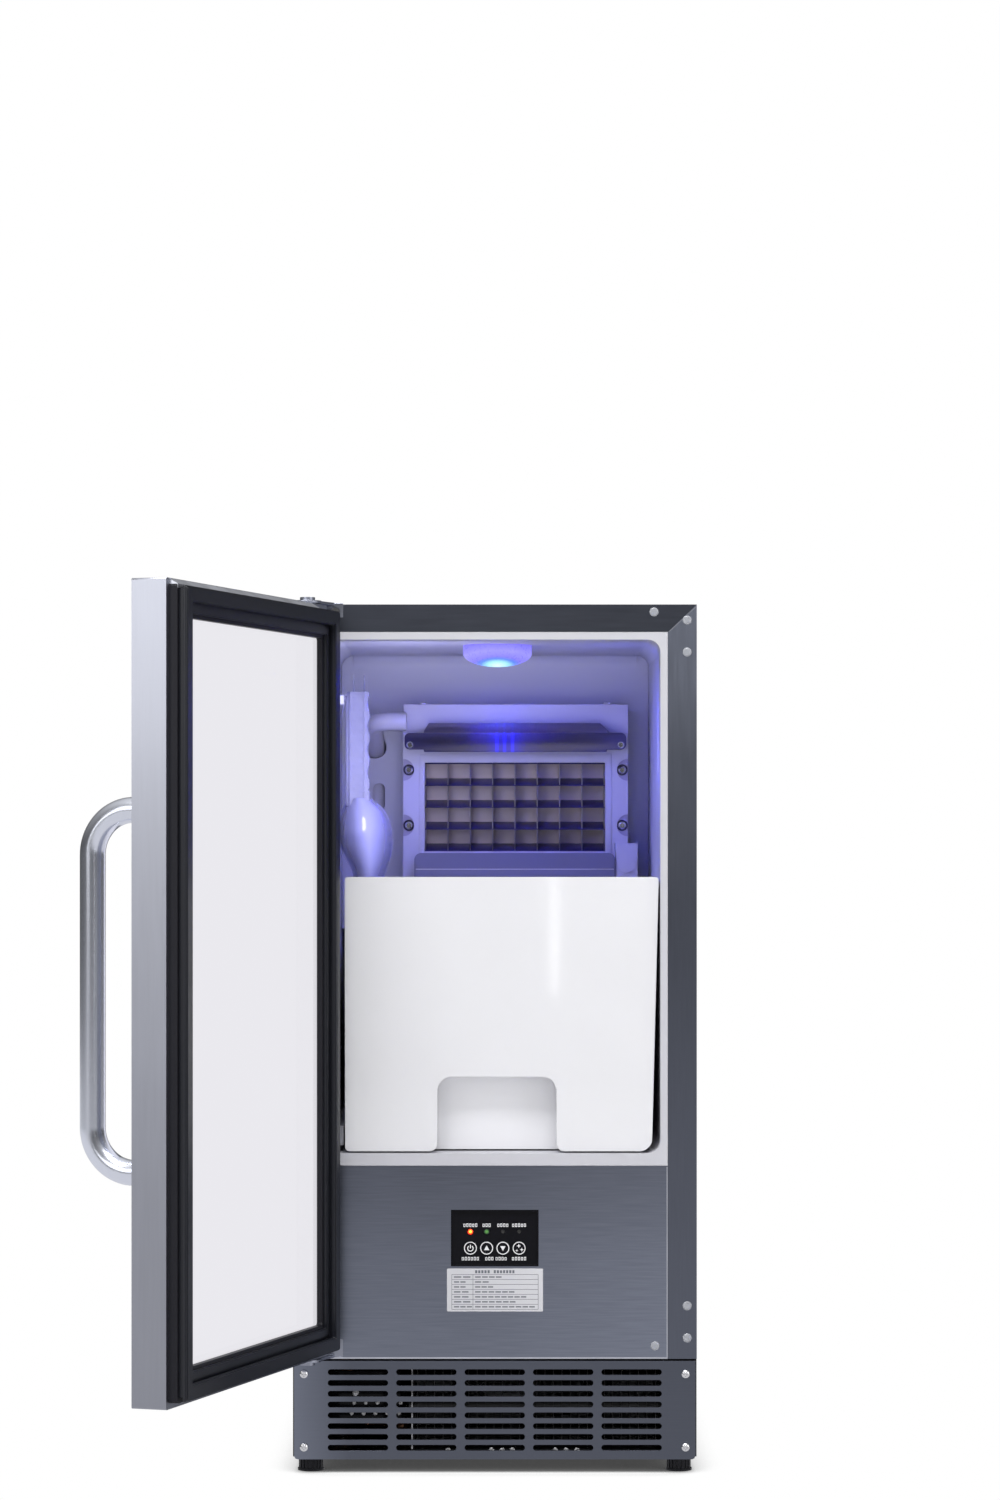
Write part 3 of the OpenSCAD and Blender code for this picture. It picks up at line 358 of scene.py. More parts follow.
PLASTICS = {
    "wrapper_paint": dict(colour=(0.035, 0.036, 0.04), rough=(0.43, 0.46), grain=500, strength=0.08),
    "white": dict(colour=(0.69, 0.69, 0.715), rough=(0.04, 0.06), strength=0.01),
    "liner_white": dict(colour=(0.5, 0.5, 0.54), rough=(0.32, 0.45), grain=700, strength=0.04),
    "housing_white": dict(colour=(0.47, 0.46, 0.5), rough=(0.3, 0.4), grain=700, strength=0.04),
    # grey plastic, darkened with painted shade
    "sump_grey": dict(colour=(0.14, 0.14, 0.2), rough=(0.45, 0.5), grain=700, strength=0.04),
    "plug": dict(colour=(0.3, 0.31, 0.34)),
    # painted shade on the floors of the screw pockets
    "pocket": dict(colour=(0.3, 0.28, 0.36), rough=(0.4, 0.5)),
    "foam": dict(colour=(0.7, 0.6, 0.36), rough=(0.8, 0.95), grain=300, strength=0.4),
    "black_gloss": dict(colour=(0.004, 0.004, 0.006), rough=(0.12, 0.2), strength=0.01, specular=0.12),
    "black_plastic": dict(
        colour=(0.01, 0.01, 0.014), rough=(0.4, 0.5), grain=700, strength=0.08, specular=0.25),
    "gasket": dict(colour=(0.009, 0.01, 0.015), rough=(0.3, 0.42), strength=0.05),
    "board": dict(colour=(0.01, 0.09, 0.04), rough=(0.3, 0.5), grain=300, strength=0.1),
    "label": dict(colour=(0.54, 0.54, 0.57), rough=(0.4, 0.5), strength=0.02),
    "cell_back": dict(colour=(0.55, 0.47, 0.43), rough=(0.3, 0.4), grain=90, strength=0.1),
    "black_enamel": dict(
        colour=(0.008, 0.008, 0.009), rough=(0.25, 0.4), grain=300, strength=0.1, coat=0.3),
    "grey_plastic": dict(colour=(0.12, 0.12, 0.13), rough=(0.45, 0.6), grain=600, strength=0.1),
    "spacer": dict(colour=(0.8, 0.8, 0.83), rough=(0.5, 0.6)),
    # painted shade and painted blue reflection: the shelves are the same metal as the upright fins
    "shelves": dict(colour=(0.028, 0.022, 0.08), rough=(0.3, 0.4)),
    "led_off": dict(colour=(0.02, 0.02, 0.02)),
    "print_white": dict(colour=(0.75, 0.75, 0.77), rough=(0.4, 0.5)),
    # grey of the label's print, also used for the painted highlight on the bezel's ledge
    "print_grey": dict(colour=(0.12, 0.125, 0.15), rough=(0.5, 0.6)),
}
CLEARS = {
    # the glass carries a pale painted sheen at a slant
    "glass": dict(tint=(0.978, 0.977, 0.983), mirror_share=0.012, painted_sheen=(0.832, 0.824, 0.864)),
    "scoop": dict(
        tint=(0.78, 0.79, 0.93), mirror_share=0.8, rough=0.1, haze=0.45, haze_colour=(0.4, 0.4, 0.5)),
    "scoop_bowl": dict(
        tint=(0.7, 0.7, 0.92), mirror_share=1.4, rough=0.1, haze=0.42, haze_colour=(0.42, 0.43, 0.64)),
}
GLOWING = {
    "lamp": dict(
        power=1, centre=(0.5, 0, 0.05),
        stops=[(0, (0.8, 1, 1)), (0.15, (0.4, 0.9, 1)), (0.26, (0.1, 0.25, 1)),
               (0.36, (0.24, 0.21, 1)), (0.65, (0.33, 0.3, 1)), (1, (0.2, 0.17, 0.9))]),
    "led_amber": dict(power=3, stops=[(0, (1, 0.75, 0.03)), (0.25, (1, 0.35, 0.01)), (0.5, (0.9, 0.02, 0))]),
    "led_green": dict(power=1, stops=[(0, (0.07, 0.35, 0)), (0.5, (0.01, 0.12, 0))]),
    "led_rim_amber": dict(
        power=1.6, stops=[(0.35, (1, 0.03, 0)), (0.46, (0.8, 0.01, 0)), (0.5, (0.1, 0, 0))]),
    "led_rim_green": dict(power=0.4, stops=[(0.35, (0.01, 0.06, 0.01)), (0.5, (0, 0.01, 0))]),
}
# painted reflection of the diodes, fainter on the lip
PAINTED_GLINT_STEELS = {
    "cover": dict(colour=(0.15, 0.14, 0.26), power=1.0),
    "cover_lip": dict(colour=(0.22, 0.2, 0.3), power=0.12),
}

MATERIALS = {}
for make, group in ((brushed, BRUSHED), (metal, METALS), (plastic, PLASTICS), (clear, CLEARS),
                    (glowing, GLOWING), (painted_glint_steel, PAINTED_GLINT_STEELS)):
    for title, settings in group.items():
        MATERIALS[title] = make(title, **settings)

BUTTONS = ("button_power", "button_size_up", "button_size_down", "button_clean")

# The nodes that wear each material
NODES_OF = {
    "zinc": ("base_pan", "back_panel", "fan_motor", "electrical_box"),
    "wrapper_paint": ("outer_wrapper",),
    "steel_top": ("frame_top",),
    "steel_up": ("frame_left", "frame_right"),
    "steel_panel": ("lower_front_panel",),
    "grille_steel": ("toe_grille",),
    "bright": ("pan_screws", "hinge_screws"),
    "plug": ("hole_plugs",),
    "liner_white": ("liner", "bulkhead"),
    "foam": ("insulation",),
    "hinge_steel": ("hinge_upper", "hinge_lower", "hinge_pins", "door_hinge_blocks"),
    "black_gloss": ("control_bezel", *BUTTONS),
    "board": ("control_board", "lamp_board"),
    "led_off": ("indicator_lenses",),
    "label": ("info_label",),
    "lamp": ("lamp_lens",),
    "housing_white": ("evaporator_housing", "water_hoses", "thermostat_bracket"),
    "fins": ("evaporator_grid",),
    "copper": ("evaporator_coil", "refrigerant_lines"),
    "cover": ("distributor_cover",),
    "sump_grey": ("water_sump",),
    "grey_plastic": ("circulation_pump", "fan_shroud", "fan_blade", "drain_outlet"),
    "white": ("scoop_hook", "ice_bin", "water_valve"),
    "scoop": ("scoop",),
    "black_enamel": ("compressor", "condenser"),
    "black_plastic": ("compressor_mounts", "cord_gland", "door_inner_frame", "foot_front_left",
                      "foot_front_right", "foot_rear_left", "foot_rear_right"),
    "door_steel": ("door_pan",),
    "gasket": ("door_gasket",),
    "glass": ("door_glass",),
    "spacer": ("glass_spacer",),
    "chrome": ("door_handle",),
}

# Width, in mm, by which a node's sharp edges are eased
EASED = {
    "toe_grille": 0.35, "liner": 0.8, "ice_bin": 1.2, "distributor_cover": 0.4,
    "thermostat_bracket": 0.6, "door_pan": 0.5, "door_inner_frame": 0.5, "door_gasket": 0.4,
    "outer_wrapper": 0.8, "info_label": 0.05, "hinge_upper": 0.3, "hinge_lower": 0.3,
    "control_bezel": 0.2,
}
EASED_ANGLE = math.radians(40)  # edges sharper than this are eased on a node
SHARP_ANGLE = math.radians(35)  # and on a piece drawn here
WELD = 0.01  # mm, points closer than this are joined


def dress_nodes():
    material_of = {name: material for material, names in NODES_OF.items() for name in names}
    for name, node in nodes.items():
        node.data.materials.clear()
        node.data.materials.append(MATERIALS[material_of[name]])
        weld = node.modifiers.new("weld", "WELD")
        weld.merge_threshold = WELD * MM
        if name in EASED:
            ease = node.modifiers.new("ease", "BEVEL")
            ease.width = EASED[name] * MM
            ease.segments = 2
            ease.limit_method = "ANGLE"
            ease.angle_limit = EASED_ANGLE


# ----- shapes, drawn in millimetres -----

def box_mm(node):
    low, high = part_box(node)
    return low / MM, high / MM


def add_rings(bm, rings, capped=True):
    """Skins a list of closed rings of points; without caps the last ring runs on into the first."""
    loops = [[bm.verts.new(point) for point in ring] for ring in rings]
    following = loops[1:] if capped else loops[1:] + loops[:1]
    for near, far in zip(loops, following):
        for k in range(len(near)):
            m = (k + 1) % len(near)
            bm.faces.new((near[k], near[m], far[m], far[k]))
    if capped:
        bm.faces.new(loops[0][::-1])
        bm.faces.new(loops[-1])


def add_prism(bm, outline, near, far):
    """An outline in X and Z, drawn out along Y."""
    add_rings(bm, [[(x, y, z) for x, z in outline] for y in (near, far)])


def add_block(bm, low, high):
    outline = [(low[0], low[2]), (high[0], low[2]), (high[0], high[2]), (low[0], high[2])]
    add_prism(bm, outline, low[1], high[1])


def add_turned(bm, profile, centre, axis, sides, capped=True):
    """Turns (radius, distance) points about an axis through centre."""
    rings = []
    for radius, along in profile:
        ring = []
        for k in range(sides):
            turn = 2 * math.pi * k / sides
            offset = [radius * math.cos(turn), radius * math.sin(turn)]
            offset.insert(axis, along)
            ring.append(Vector(centre) + Vector(offset))
        rings.append(ring)
    add_rings(bm, rings, capped)


def add_tube(bm, path, radius, sides):
    """A round tube along a path."""
    points = [Vector(point) for point in path]
    last = len(points) - 1
    side = None
    rings = []
    for i, point in enumerate(points):
        ahead = (points[min(i + 1, last)] - points[max(i - 1, 0)]).normalized()
        side = ahead.orthogonal() if side is None else side - ahead * side.dot(ahead)
        side.normalize()
        other = ahead.cross(side)
        turns = [2 * math.pi * k / sides for k in range(sides)]
        rings.append([point + (side * math.cos(t) + other * math.sin(t)) * radius for t in turns])
    add_rings(bm, rings)


def bent_path(corners, reach, steps=8):
    """A path through corners, each rounded off over a distance of reach to both sides."""
    corners = [Vector(corner) for corner in corners]
    path = [corners[0]]
    for before, corner, after in zip(corners, corners[1:], corners[2:]):
        start = corner + (before - corner).normalized() * min(reach, (before - corner).length / 2)
        end = corner + (after - corner).normalized() * min(reach, (after - corner).length / 2)
        for k in range(steps + 1):
            t = k / steps
            path.append(start * (1 - t) ** 2 + corner * 2 * t * (1 - t) + end * t ** 2)
    path.append(corners[-1])
    return path


def arc_points(centre, radius, start, end, steps=12):
    turns = [math.radians(start + (end - start) * k / steps) for k in range(steps + 1)]
    return [(centre[0] + radius * math.cos(t), centre[1] + radius * math.sin(t)) for t in turns]


def add_arc_band(bm, centre, inner, outer, start, end, near, far, steps=28):
    """A flat band between two radii, from one angle to another, facing the front."""
    add_prism(bm, arc_points(centre, outer, start, end, steps)
              + arc_points(centre, inner, start, end, steps)[::-1], near, far)


def add_frame(bm, outer, inner, near, far):
    """A rectangular frame between two (x0, x1, z0, z1) rectangles."""
    def ring(rectangle, y):
        x0, x1, z0, z1 = rectangle
        return [(x0, y, z0), (x1, y, z0), (x1, y, z1), (x0, y, z1)]
    add_rings(bm, [ring(outer, near), ring(outer, far), ring(inner, far), ring(inner, near)], False)


def make_piece(name, bm, material, body, replaces=(), ease=0.0, turn=None):
    """Finishes a drawn shape as a piece that rides on a body."""
    bmesh.ops.recalc_face_normals(bm, faces=bm.faces)
    if ease:
        sharp = [edge for edge in bm.edges
                 if edge.is_manifold and edge.calc_face_angle(0) > SHARP_ANGLE]
        bmesh.ops.bevel(bm, geom=sharp, offset=ease, segments=2, profile=0.5, affect="EDGES")
    if turn:
        bm.transform(turn)
    bm.transform(Matrix.Scale(MM, 4))
    mesh = bpy.data.meshes.new(name)
    bm.to_mesh(mesh)
    bm.free()
    mesh.materials.append(MATERIALS[material])
    mesh.shade_smooth()
    mesh.set_sharp_from_angle(angle=SHARP_ANGLE)
    piece = bpy.data.objects.new(name, mesh)
    scene.collection.objects.link(piece)
    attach(piece, body)
    if replaces:
        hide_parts(*replaces)


# ----- control panel and label -----

PRINT = 0.12  # thickness of printed marks
SINK = 0.02  # depth to which printed marks and words sink into the face under them
ICON_RING = (5.2, 6.0)
POWER_RING = (2.1, 3.0, 125, 415)  # two radii, and the angles at which it starts and ends
ARROW = (2.5, 1.9, 2.7)  # half width, and the distances of the base and the tip from the middle
SPARKLES = ((-0.3, 2.1, 2.1), (2.5, -1.4, 1.9), (-2.1, -2.2, 1.4))  # right, up and reach
SPARKLE_WAIST = 0.36

LENS_FACE = 2.8  # from the bezel's foremost edge back to the face round the lenses
LENS_COLOURS = ("led_amber", "led_green", "led_off", "led_off")
GLOW_COLOURS = ("led_rim_amber", "led_rim_green")
GLOW_WIDTH = 1.0
GLOW_DEPTH = 0.06

WORD_HEIGHT = 3.2
WORD_DEPTH = 0.15
WORD_STROKE = (0.55, 0.6)  # widths of a letter block's upright and level sides
ABOVE_LENSES = 6.0
ABOVE_WORDS = ((0, 5), (0, 3), (0, 4), (0, 5))  # shift to the right and number of letters
ABOVE_PITCH = 2.75
BELOW_BUTTONS = 9.9
BELOW_WORDS = ((0, 6), (2.6, 3), (-1.6, 4), (0, 5))
BELOW_PITCH = 2.8


def add_sparkle(bm, x, z, reach, near, far):
    """A four-pointed star."""
    outline = []
    for k in range(8):
        turn = math.pi * k / 4
        r = reach if k % 2 == 0 else reach * SPARKLE_WAIST
        outline.append((x + r * math.cos(turn), z + r * math.sin(turn)))
    add_prism(bm, outline, near, far)


def add_icon(bm, kind, x, z, near, far):
    if kind == "button_power":
        add_arc_band(bm, (x, z - 0.2), *POWER_RING, near, far)
        add_block(bm, (x - 0.45, near, z - 0.2), (x + 0.45, far, z + 3.2))
    elif kind == "button_clean":
        for right, up, reach in SPARKLES:
            add_sparkle(bm, x + right, z + up, reach, near, far)
    else:
        half, base, tip = ARROW
        way = 1 if kind == "button_size_up" else -1
        add_prism(bm, [(x - half, z - way * base), (x + half, z - way * base), (x, z + way * tip)],
                  near, far)


def add_word(bm, x, z, letters, pitch, near):
    """A greeked word: a row of small blocks where its letters would be."""
    start = x - pitch * letters / 2
    bottom = z - WORD_HEIGHT / 2
    upright, level = WORD_STROKE
    for k in range(letters):
        low = start + pitch * (k + 0.12)
        high = start + pitch * (k + 0.82)
        top = z + WORD_HEIGHT * (0.5 if k % 3 else 0.42)
        add_frame(bm, (low, high, bottom, top), (low + upright, high - upright, bottom + level, top - level),
                  near, near + WORD_DEPTH)


def add_button_marks():
    for name in BUTTONS:
        low, high = box_mm(name)
        x = (low.x + high.x) / 2
        z = (low.z + high.z) / 2
        near = low.y - PRINT
        far = low.y + SINK
        bm = bmesh.new()
        add_arc_band(bm, (x, z), *ICON_RING, 0, 359.9, near, far, 40)
        add_icon(bm, name, x, z, near, far)
        make_piece(name + "_mark", bm, "print_white", name)


def add_panel():
    """Indicator lenses with the glow round the lit ones, and the words above and below."""
    low, high = box_mm("indicator_lenses")
    face = box_mm("control_bezel")[0].y + LENS_FACE
    radius = (high.z - low.z) / 2
    centre_z = (low.z + high.z) / 2
    pitch = (high.x - low.x - 2 * radius) / 3
    xs = [low.x + radius + pitch * k for k in range(4)]
    for k, material in enumerate(LENS_COLOURS):
        bm = bmesh.new()
        dome = [(radius, 3.0), (radius, 0.5), (radius * 0.85, 0.15), (radius * 0.5, 0.02), (0.05, 0)]
        add_turned(bm, dome, (xs[k], low.y, centre_z), DEPTH, 24)
        make_piece("lens_%d" % k, bm, material, CABINET, ("indicator_lenses",))
        if k < len(GLOW_COLOURS):
            bm = bmesh.new()
            wide = radius + GLOW_WIDTH
            add_turned(bm, [(wide, GLOW_DEPTH), (wide, 0), (radius, 0), (radius, GLOW_DEPTH)],
                       (xs[k], face, centre_z), DEPTH, 24, False)
            make_piece("lens_glow_%d" % k, bm, GLOW_COLOURS[k], CABINET)

    button_low, button_high = box_mm("button_power")
    button_z = (button_low.z + button_high.z) / 2
    bm = bmesh.new()
    for words, pitch, z in ((ABOVE_WORDS, ABOVE_PITCH, centre_z + ABOVE_LENSES),
                            (BELOW_WORDS, BELOW_PITCH, button_z - BELOW_BUTTONS)):
        for x, (shift, letters) in zip(xs, words):
            add_word(bm, x + shift, z, letters, pitch, face - SINK)
    make_piece("panel_words", bm, "print_white", CABINET)


LABEL_PRINT = 0.04  # thickness of the label's print
LABEL_MARGIN = 0.05  # shares of the label's width and height
LABEL_HEAD = 0.14
LABEL_COLUMN = 0.245
LABEL_TEXTS = [(17, 26), (12, 14), (12, 18), (15, 38), (15, 49), (17, 39), (18, 57)]
LABEL_RULE = 0.2  # half the thickness of a line
LABEL_WORD = 6  # least length of a word with the gap after it
LABEL_WORD_HALF = 0.6
TITLE_LETTERS = 13
TITLE_GAP = 5  # number of the place that stays blank
TITLE_PITCH = 2.9
TITLE_HALF = 1.4


def add_label_print():
    """A table of greeked text in two columns, under a title."""
    low, high = box_mm("info_label")
    near = low.y - LABEL_PRINT
    far = low.y + SINK
    width = high.x - low.x
    height = high.z - low.z
    x0 = low.x + LABEL_MARGIN * width
    x1 = high.x - LABEL_MARGIN * width
    z0 = low.z + LABEL_MARGIN * height
    z1 = high.z - LABEL_HEAD * height
    column = x0 + LABEL_COLUMN * (x1 - x0)
    row = (z1 - z0) / len(LABEL_TEXTS)
    bm = bmesh.new()
    for k in range(len(LABEL_TEXTS) + 1):
        z = z0 + row * k
        add_block(bm, (x0, near, z - LABEL_RULE), (x1, far, z + LABEL_RULE))
    for x in (x0, column, x1):
        add_block(bm, (x - LABEL_RULE, near, z0), (x + LABEL_RULE, far, z1))
    middle = (low.x + high.x) / 2
    title_z = (z1 + high.z) / 2 - 0.2
    for k in range(TITLE_LETTERS):
        x = middle + (k - TITLE_LETTERS / 2) * TITLE_PITCH
        if k != TITLE_GAP:
            add_block(bm, (x + 0.3, near, title_z - TITLE_HALF), (x + 2.3, far, title_z + TITLE_HALF))
    for k, lengths in enumerate(LABEL_TEXTS):
        z = z1 - row * (k + 0.5)
        for start, length in zip((x0 + 2.0, column + 2.0), lengths):
            words = max(1, length // LABEL_WORD)
            step = length / words
            for word in range(words):
                add_block(bm, (start + step * word, near, z - LABEL_WORD_HALF),
                          (start + step * (word + 0.82), far, z + LABEL_WORD_HALF))
    make_piece("label_print", bm, "print_grey", CABINET)


# ----- ice compartment -----

LAMP_CURVE = 13  # height of the rounded lower end of the lamp's lens


def add_lamp():
    low, high = box_mm("lamp_lens")
    centre = ((low.x + high.x) / 2, (low.y + high.y) / 2, 0)
    radius = (high.x - low.x) / 2
    profile = [(radius, high.z), (radius, low.z + LAMP_CURVE + 2)]
    for across, up in arc_points((0, 0), 1, 0, 90):
        profile.append((radius * across + 0.05, low.z + LAMP_CURVE * (1 - up)))
    bm = bmesh.new()
    add_turned(bm, profile, centre, HEIGHT, 64)
    make_piece("lamp_dome", bm, "lamp", CABINET, ("lamp_lens",))


CELLS_ACROSS = 8
CELLS_UP = 4
FIN = 1.0
SHELF_DROP = 7.3  # how far a shelf falls from back to front
CELL_BACK = 2


def add_grid():
    """Cells of the evaporator: a back plate, upright fins and shelves that slope to the front."""
    low, high = box_mm("evaporator_grid")
    back = high.y - CELL_BACK
    bm = bmesh.new()
    add_block(bm, (low.x, back, low.z), (high.x, high.y, high.z))
    make_piece("cell_back", bm, "cell_back", CABINET, ("evaporator_grid",), 0.3)
    width = (high.x - low.x - FIN) / CELLS_ACROSS
    floor_z = low.z + 1
    top_z = high.z - SHELF_DROP - 1
    rise = (top_z - floor_z - FIN) / CELLS_UP
    bm = bmesh.new()
    for k in range(CELLS_ACROSS + 1):
        x = low.x + width * k
        add_block(bm, (x, low.y + 0.3, floor_z - 0.5), (x + FIN, back + 0.2, top_z + 0.5))
    make_piece("cell_walls", bm, "fins", CABINET, ("evaporator_grid",), 0.15)
    bm = bmesh.new()
    far = back + 0.4
    for k in range(CELLS_UP + 1):
        z = floor_z + rise * k
        section = ((low.y, z), (far, z + SHELF_DROP), (far, z + SHELF_DROP + FIN), (low.y, z + FIN))
        add_rings(bm, [[(x, *point) for point in section] for x in (low.x + 0.1, high.x - 0.1)])
    # the shelves drawn dark blue: painted shade and painted blue reflection
    make_piece("cell_shelves", bm, "shelves", CABINET, ("evaporator_grid",), 0.12)


SCREW_HEIGHTS = (608.5, 663.8)
RIM_OUTER = (-5.6, 6.6, -2.5, 1)  # from the left, right, foot and top of the grid
RIM_INNER = (-0.3, 0.3, 1.2, -7.8)
POCKET_RADIUS = 10.8
POCKET_DEPTHS = (1.6, 2.2)  # behind the housing's face
WASHER = [(5.6, 1.7), (5.6, 1.2), (4.1, 0.9), (4.1, 1.7)]  # radius and place behind the housing's face
WASHER_INSET = 5.8
TOP_PLATE_FOOT = 700
BOSSES = (-71.6, 112.2)
BOSS = [(4.2, -1), (4.2, 1.2), (3, 2.2), (0.1, 2.4)]  # radius and place above the housing
BOSS_DEPTH = 5


def add_housing_trim():
    """Rim round the grid's opening, screw pockets in painted shade, and a plate with two bosses along the
    top.
    """
    low, high = box_mm("evaporator_grid")
    house_low, house_high = box_mm("evaporator_housing")
    face = house_low.y
    grid = Vector((low.x, high.x, low.z, high.z))
    bm = bmesh.new()
    add_frame(bm, grid + Vector(RIM_OUTER), grid + Vector(RIM_INNER), face - 0.9, face + 0.3)
    make_piece("housing_rim", bm, "housing_white", CABINET, (), 0.35)
    pockets = bmesh.new()
    washers = bmesh.new()
    near, far = POCKET_DEPTHS
    washer = [(radius, face + place) for radius, place in WASHER]
    for z in SCREW_HEIGHTS:
        for x, start in ((house_low.x + 0.2, -90), (house_high.x - 0.2, 90)):
            half = arc_points((x, z), POCKET_RADIUS, start, start + 180, 20)
            add_prism(pockets, half, face + near, face + far)
        for x in (house_low.x + WASHER_INSET, house_high.x - WASHER_INSET):
            add_turned(washers, washer, (x, 0, z), DEPTH, 28, False)
    # darker half discs on the pockets' floors: painted shade
    make_piece("housing_pockets", pockets, "pocket", CABINET)
    bm = bmesh.new()
    add_block(bm, (house_low.x + 0.1, face - 0.4, TOP_PLATE_FOOT),
              (house_high.x - 0.1, face + 4, house_high.z - 0.1))
    make_piece("housing_top_plate", bm, "housing_white", CABINET, (), 0.8)
    bm = bmesh.new()
    boss = [(radius, house_high.z + place) for radius, place in BOSS]
    for x in BOSSES:
        add_turned(bm, boss, (x, face + BOSS_DEPTH, 0), HEIGHT, 24)
    make_piece("housing_bosses", bm, "housing_white", CABINET)
    make_piece("housing_washers", washers, "washer", CABINET)


SUMP_INSET = 1.5
SUMP_FACE = (552, 565.2)
SUMP_LINE = (564.4, 565.4)


def add_sump_trim():
    """Face of the water sump and a painted highlight line along its top."""
    low, high = box_mm("water_sump")
    x0 = low.x + SUMP_INSET
    x1 = high.x - SUMP_INSET
    bm = bmesh.new()
    add_block(bm, (x0, low.y + 0.5, SUMP_FACE[0]), (x1, low.y + 1.3, SUMP_FACE[1]))
    make_piece("sump_face", bm, "sump_grey", CABINET, (), 0.2)
    # painted highlight along the sump's top edge
    bm = bmesh.new()
    add_block(bm, (x0, low.y + 0.2, SUMP_LINE[0]), (x1, low.y + 1.2, SUMP_LINE[1]))
    make_piece("sump_line", bm, "housing_white", CABINET, (), 0.15)


# The feed runs from the distributor into the wall's hole, and behind the wall down to the pump
FEED_ROUTE = [(-88, 225, 711.5), (-121, 225, 711.5), (-121, 287, 688), (-121, 328, 671),
              (-120, 297, 655), (-120, 297, 600), (-60, 345, 560), (-24, 345, 548)]
FILL_ROUTE = [(100, 510, 212), (100, 510, 240), (100, 470, 262), (100, 470, 590), (60, 330, 600)]
HOSES = (("feed_hose", FEED_ROUTE, 16, 9.2, 28), ("fill_tube", FILL_ROUTE, 14, 4, 16))


def add_hoses():
    for name, route, bend, radius, sides in HOSES:
        bm = bmesh.new()
        add_tube(bm, bent_path(route, bend), radius, sides)
        make_piece(name, bm, "housing_white", CABINET, ("water_hoses",))


# Outlines of the scoop's bowl as (height, place) from its top down
SCOOP_RIGHT = [(633, -119.5), (629.5, -114.5), (627, -110), (619, -104.4), (608.5, -100.3), (596, -98.1),
               (583.5, -98.9), (570.5, -102.3), (560, -105.7), (540, -108.5), (515, -111.2)]
SCOOP_LEFT = [(633, -141.0), (624, -146.8), (610, -150.8), (598, -151.6), (586, -149.8),
              (563, -137.0), (515, -133.2)]
SCOOP_FRONT = [(633, 81), (618, 66.4), (600, 56.4), (530, 56.4), (515, 62)]
SCOOP_BACK = [(633, 103), (612, 121.6), (592, 127.4), (515, 84)]
BLEND = (-4, -2, 0, 2, 4)  # heights over which an outline is averaged
BOWL_TOP = 633
BOWL_FOOT = 515
BOWL_WALL = 2.0
BOWL_RIM = 1.0
RIM_INSET = 2
SCOOP_STEPS = 60
RIM_STEPS = 40

GRIP_LEFT = -143.0
GRIP_RIGHT = -119.6
GRIP_DEPTH = 92.0  # middle of the grip
GRIP_HALF_DEPTH = 11
GRIP_FOOT = 626
GRIP_SIDES = 56
SQUARENESS = 0.4  # power that squares off the grip's round section
SCALLOP = 0.9
SCALLOP_PITCH = 22
SCALLOP_FOOT = 640
FLUTE = 0.7
FLUTE_PITCH = 4.6
LIP_FOOT = 712
LIP_DEPTHS = (84, 100)


def blend_along(stops, z):
    """Value at height z from (height, value) stops that go down, averaged over a few millimetres."""
    total = 0
    for step in BLEND:
        at = min(stops[0][0], max(stops[-1][0], z + step))
        for (z0, a), (z1, b) in zip(stops, stops[1:]):
            if at >= z1:
                total += a + (b - a) * (z0 - at) / (z0 - z1)
                break
    return total / len(BLEND)


def levels(top, foot, steps):
    return [top - step * (top - foot) / steps for step in range(steps + 1)]


def squared(value):
    return math.copysign(abs(value) ** SQUARENESS, value)


def grip_ring(top, z, cap):
    """Section of the grip at height z, with flutes on its front; cap draws it in at its end."""
    scallop = SCALLOP * (1 - math.cos(2 * math.pi * (top - z) / SCALLOP_PITCH)) if z > SCALLOP_FOOT else 0
    right = GRIP_RIGHT - scallop
    half = (right - GRIP_LEFT) / 2
    ring = []
    for k in range(GRIP_SIDES):
        turn = 2 * math.pi * k / GRIP_SIDES
        x = (GRIP_LEFT + right) / 2 + half * cap * squared(math.cos(turn))
        y = GRIP_DEPTH + GRIP_HALF_DEPTH * cap * squared(math.sin(turn))
        if math.sin(turn) < -0.5:
            y += FLUTE * (1 - math.cos(2 * math.pi * (x - GRIP_LEFT) / FLUTE_PITCH))
        ring.append((x, y, z))
    return ring


def bowl_ring(z, turns):
    """Section of the bowl at height z: half an oval of one wall's thickness, open at the back."""
    left = blend_along(SCOOP_LEFT, z)
    right = blend_along(SCOOP_RIGHT, z)
    back = blend_along(SCOOP_BACK, z)
    middle = (left + right) / 2
    half = (right - left) / 2
    depth = back - blend_along(SCOOP_FRONT, z)
    outer = [(middle + half * math.cos(t), back + depth * math.sin(t), z) for t in turns]
    inner = [(middle + (half - BOWL_WALL) * math.cos(t), back + (depth - BOWL_WALL) * math.sin(t), z)
             for t in reversed(turns)]
    return outer + inner


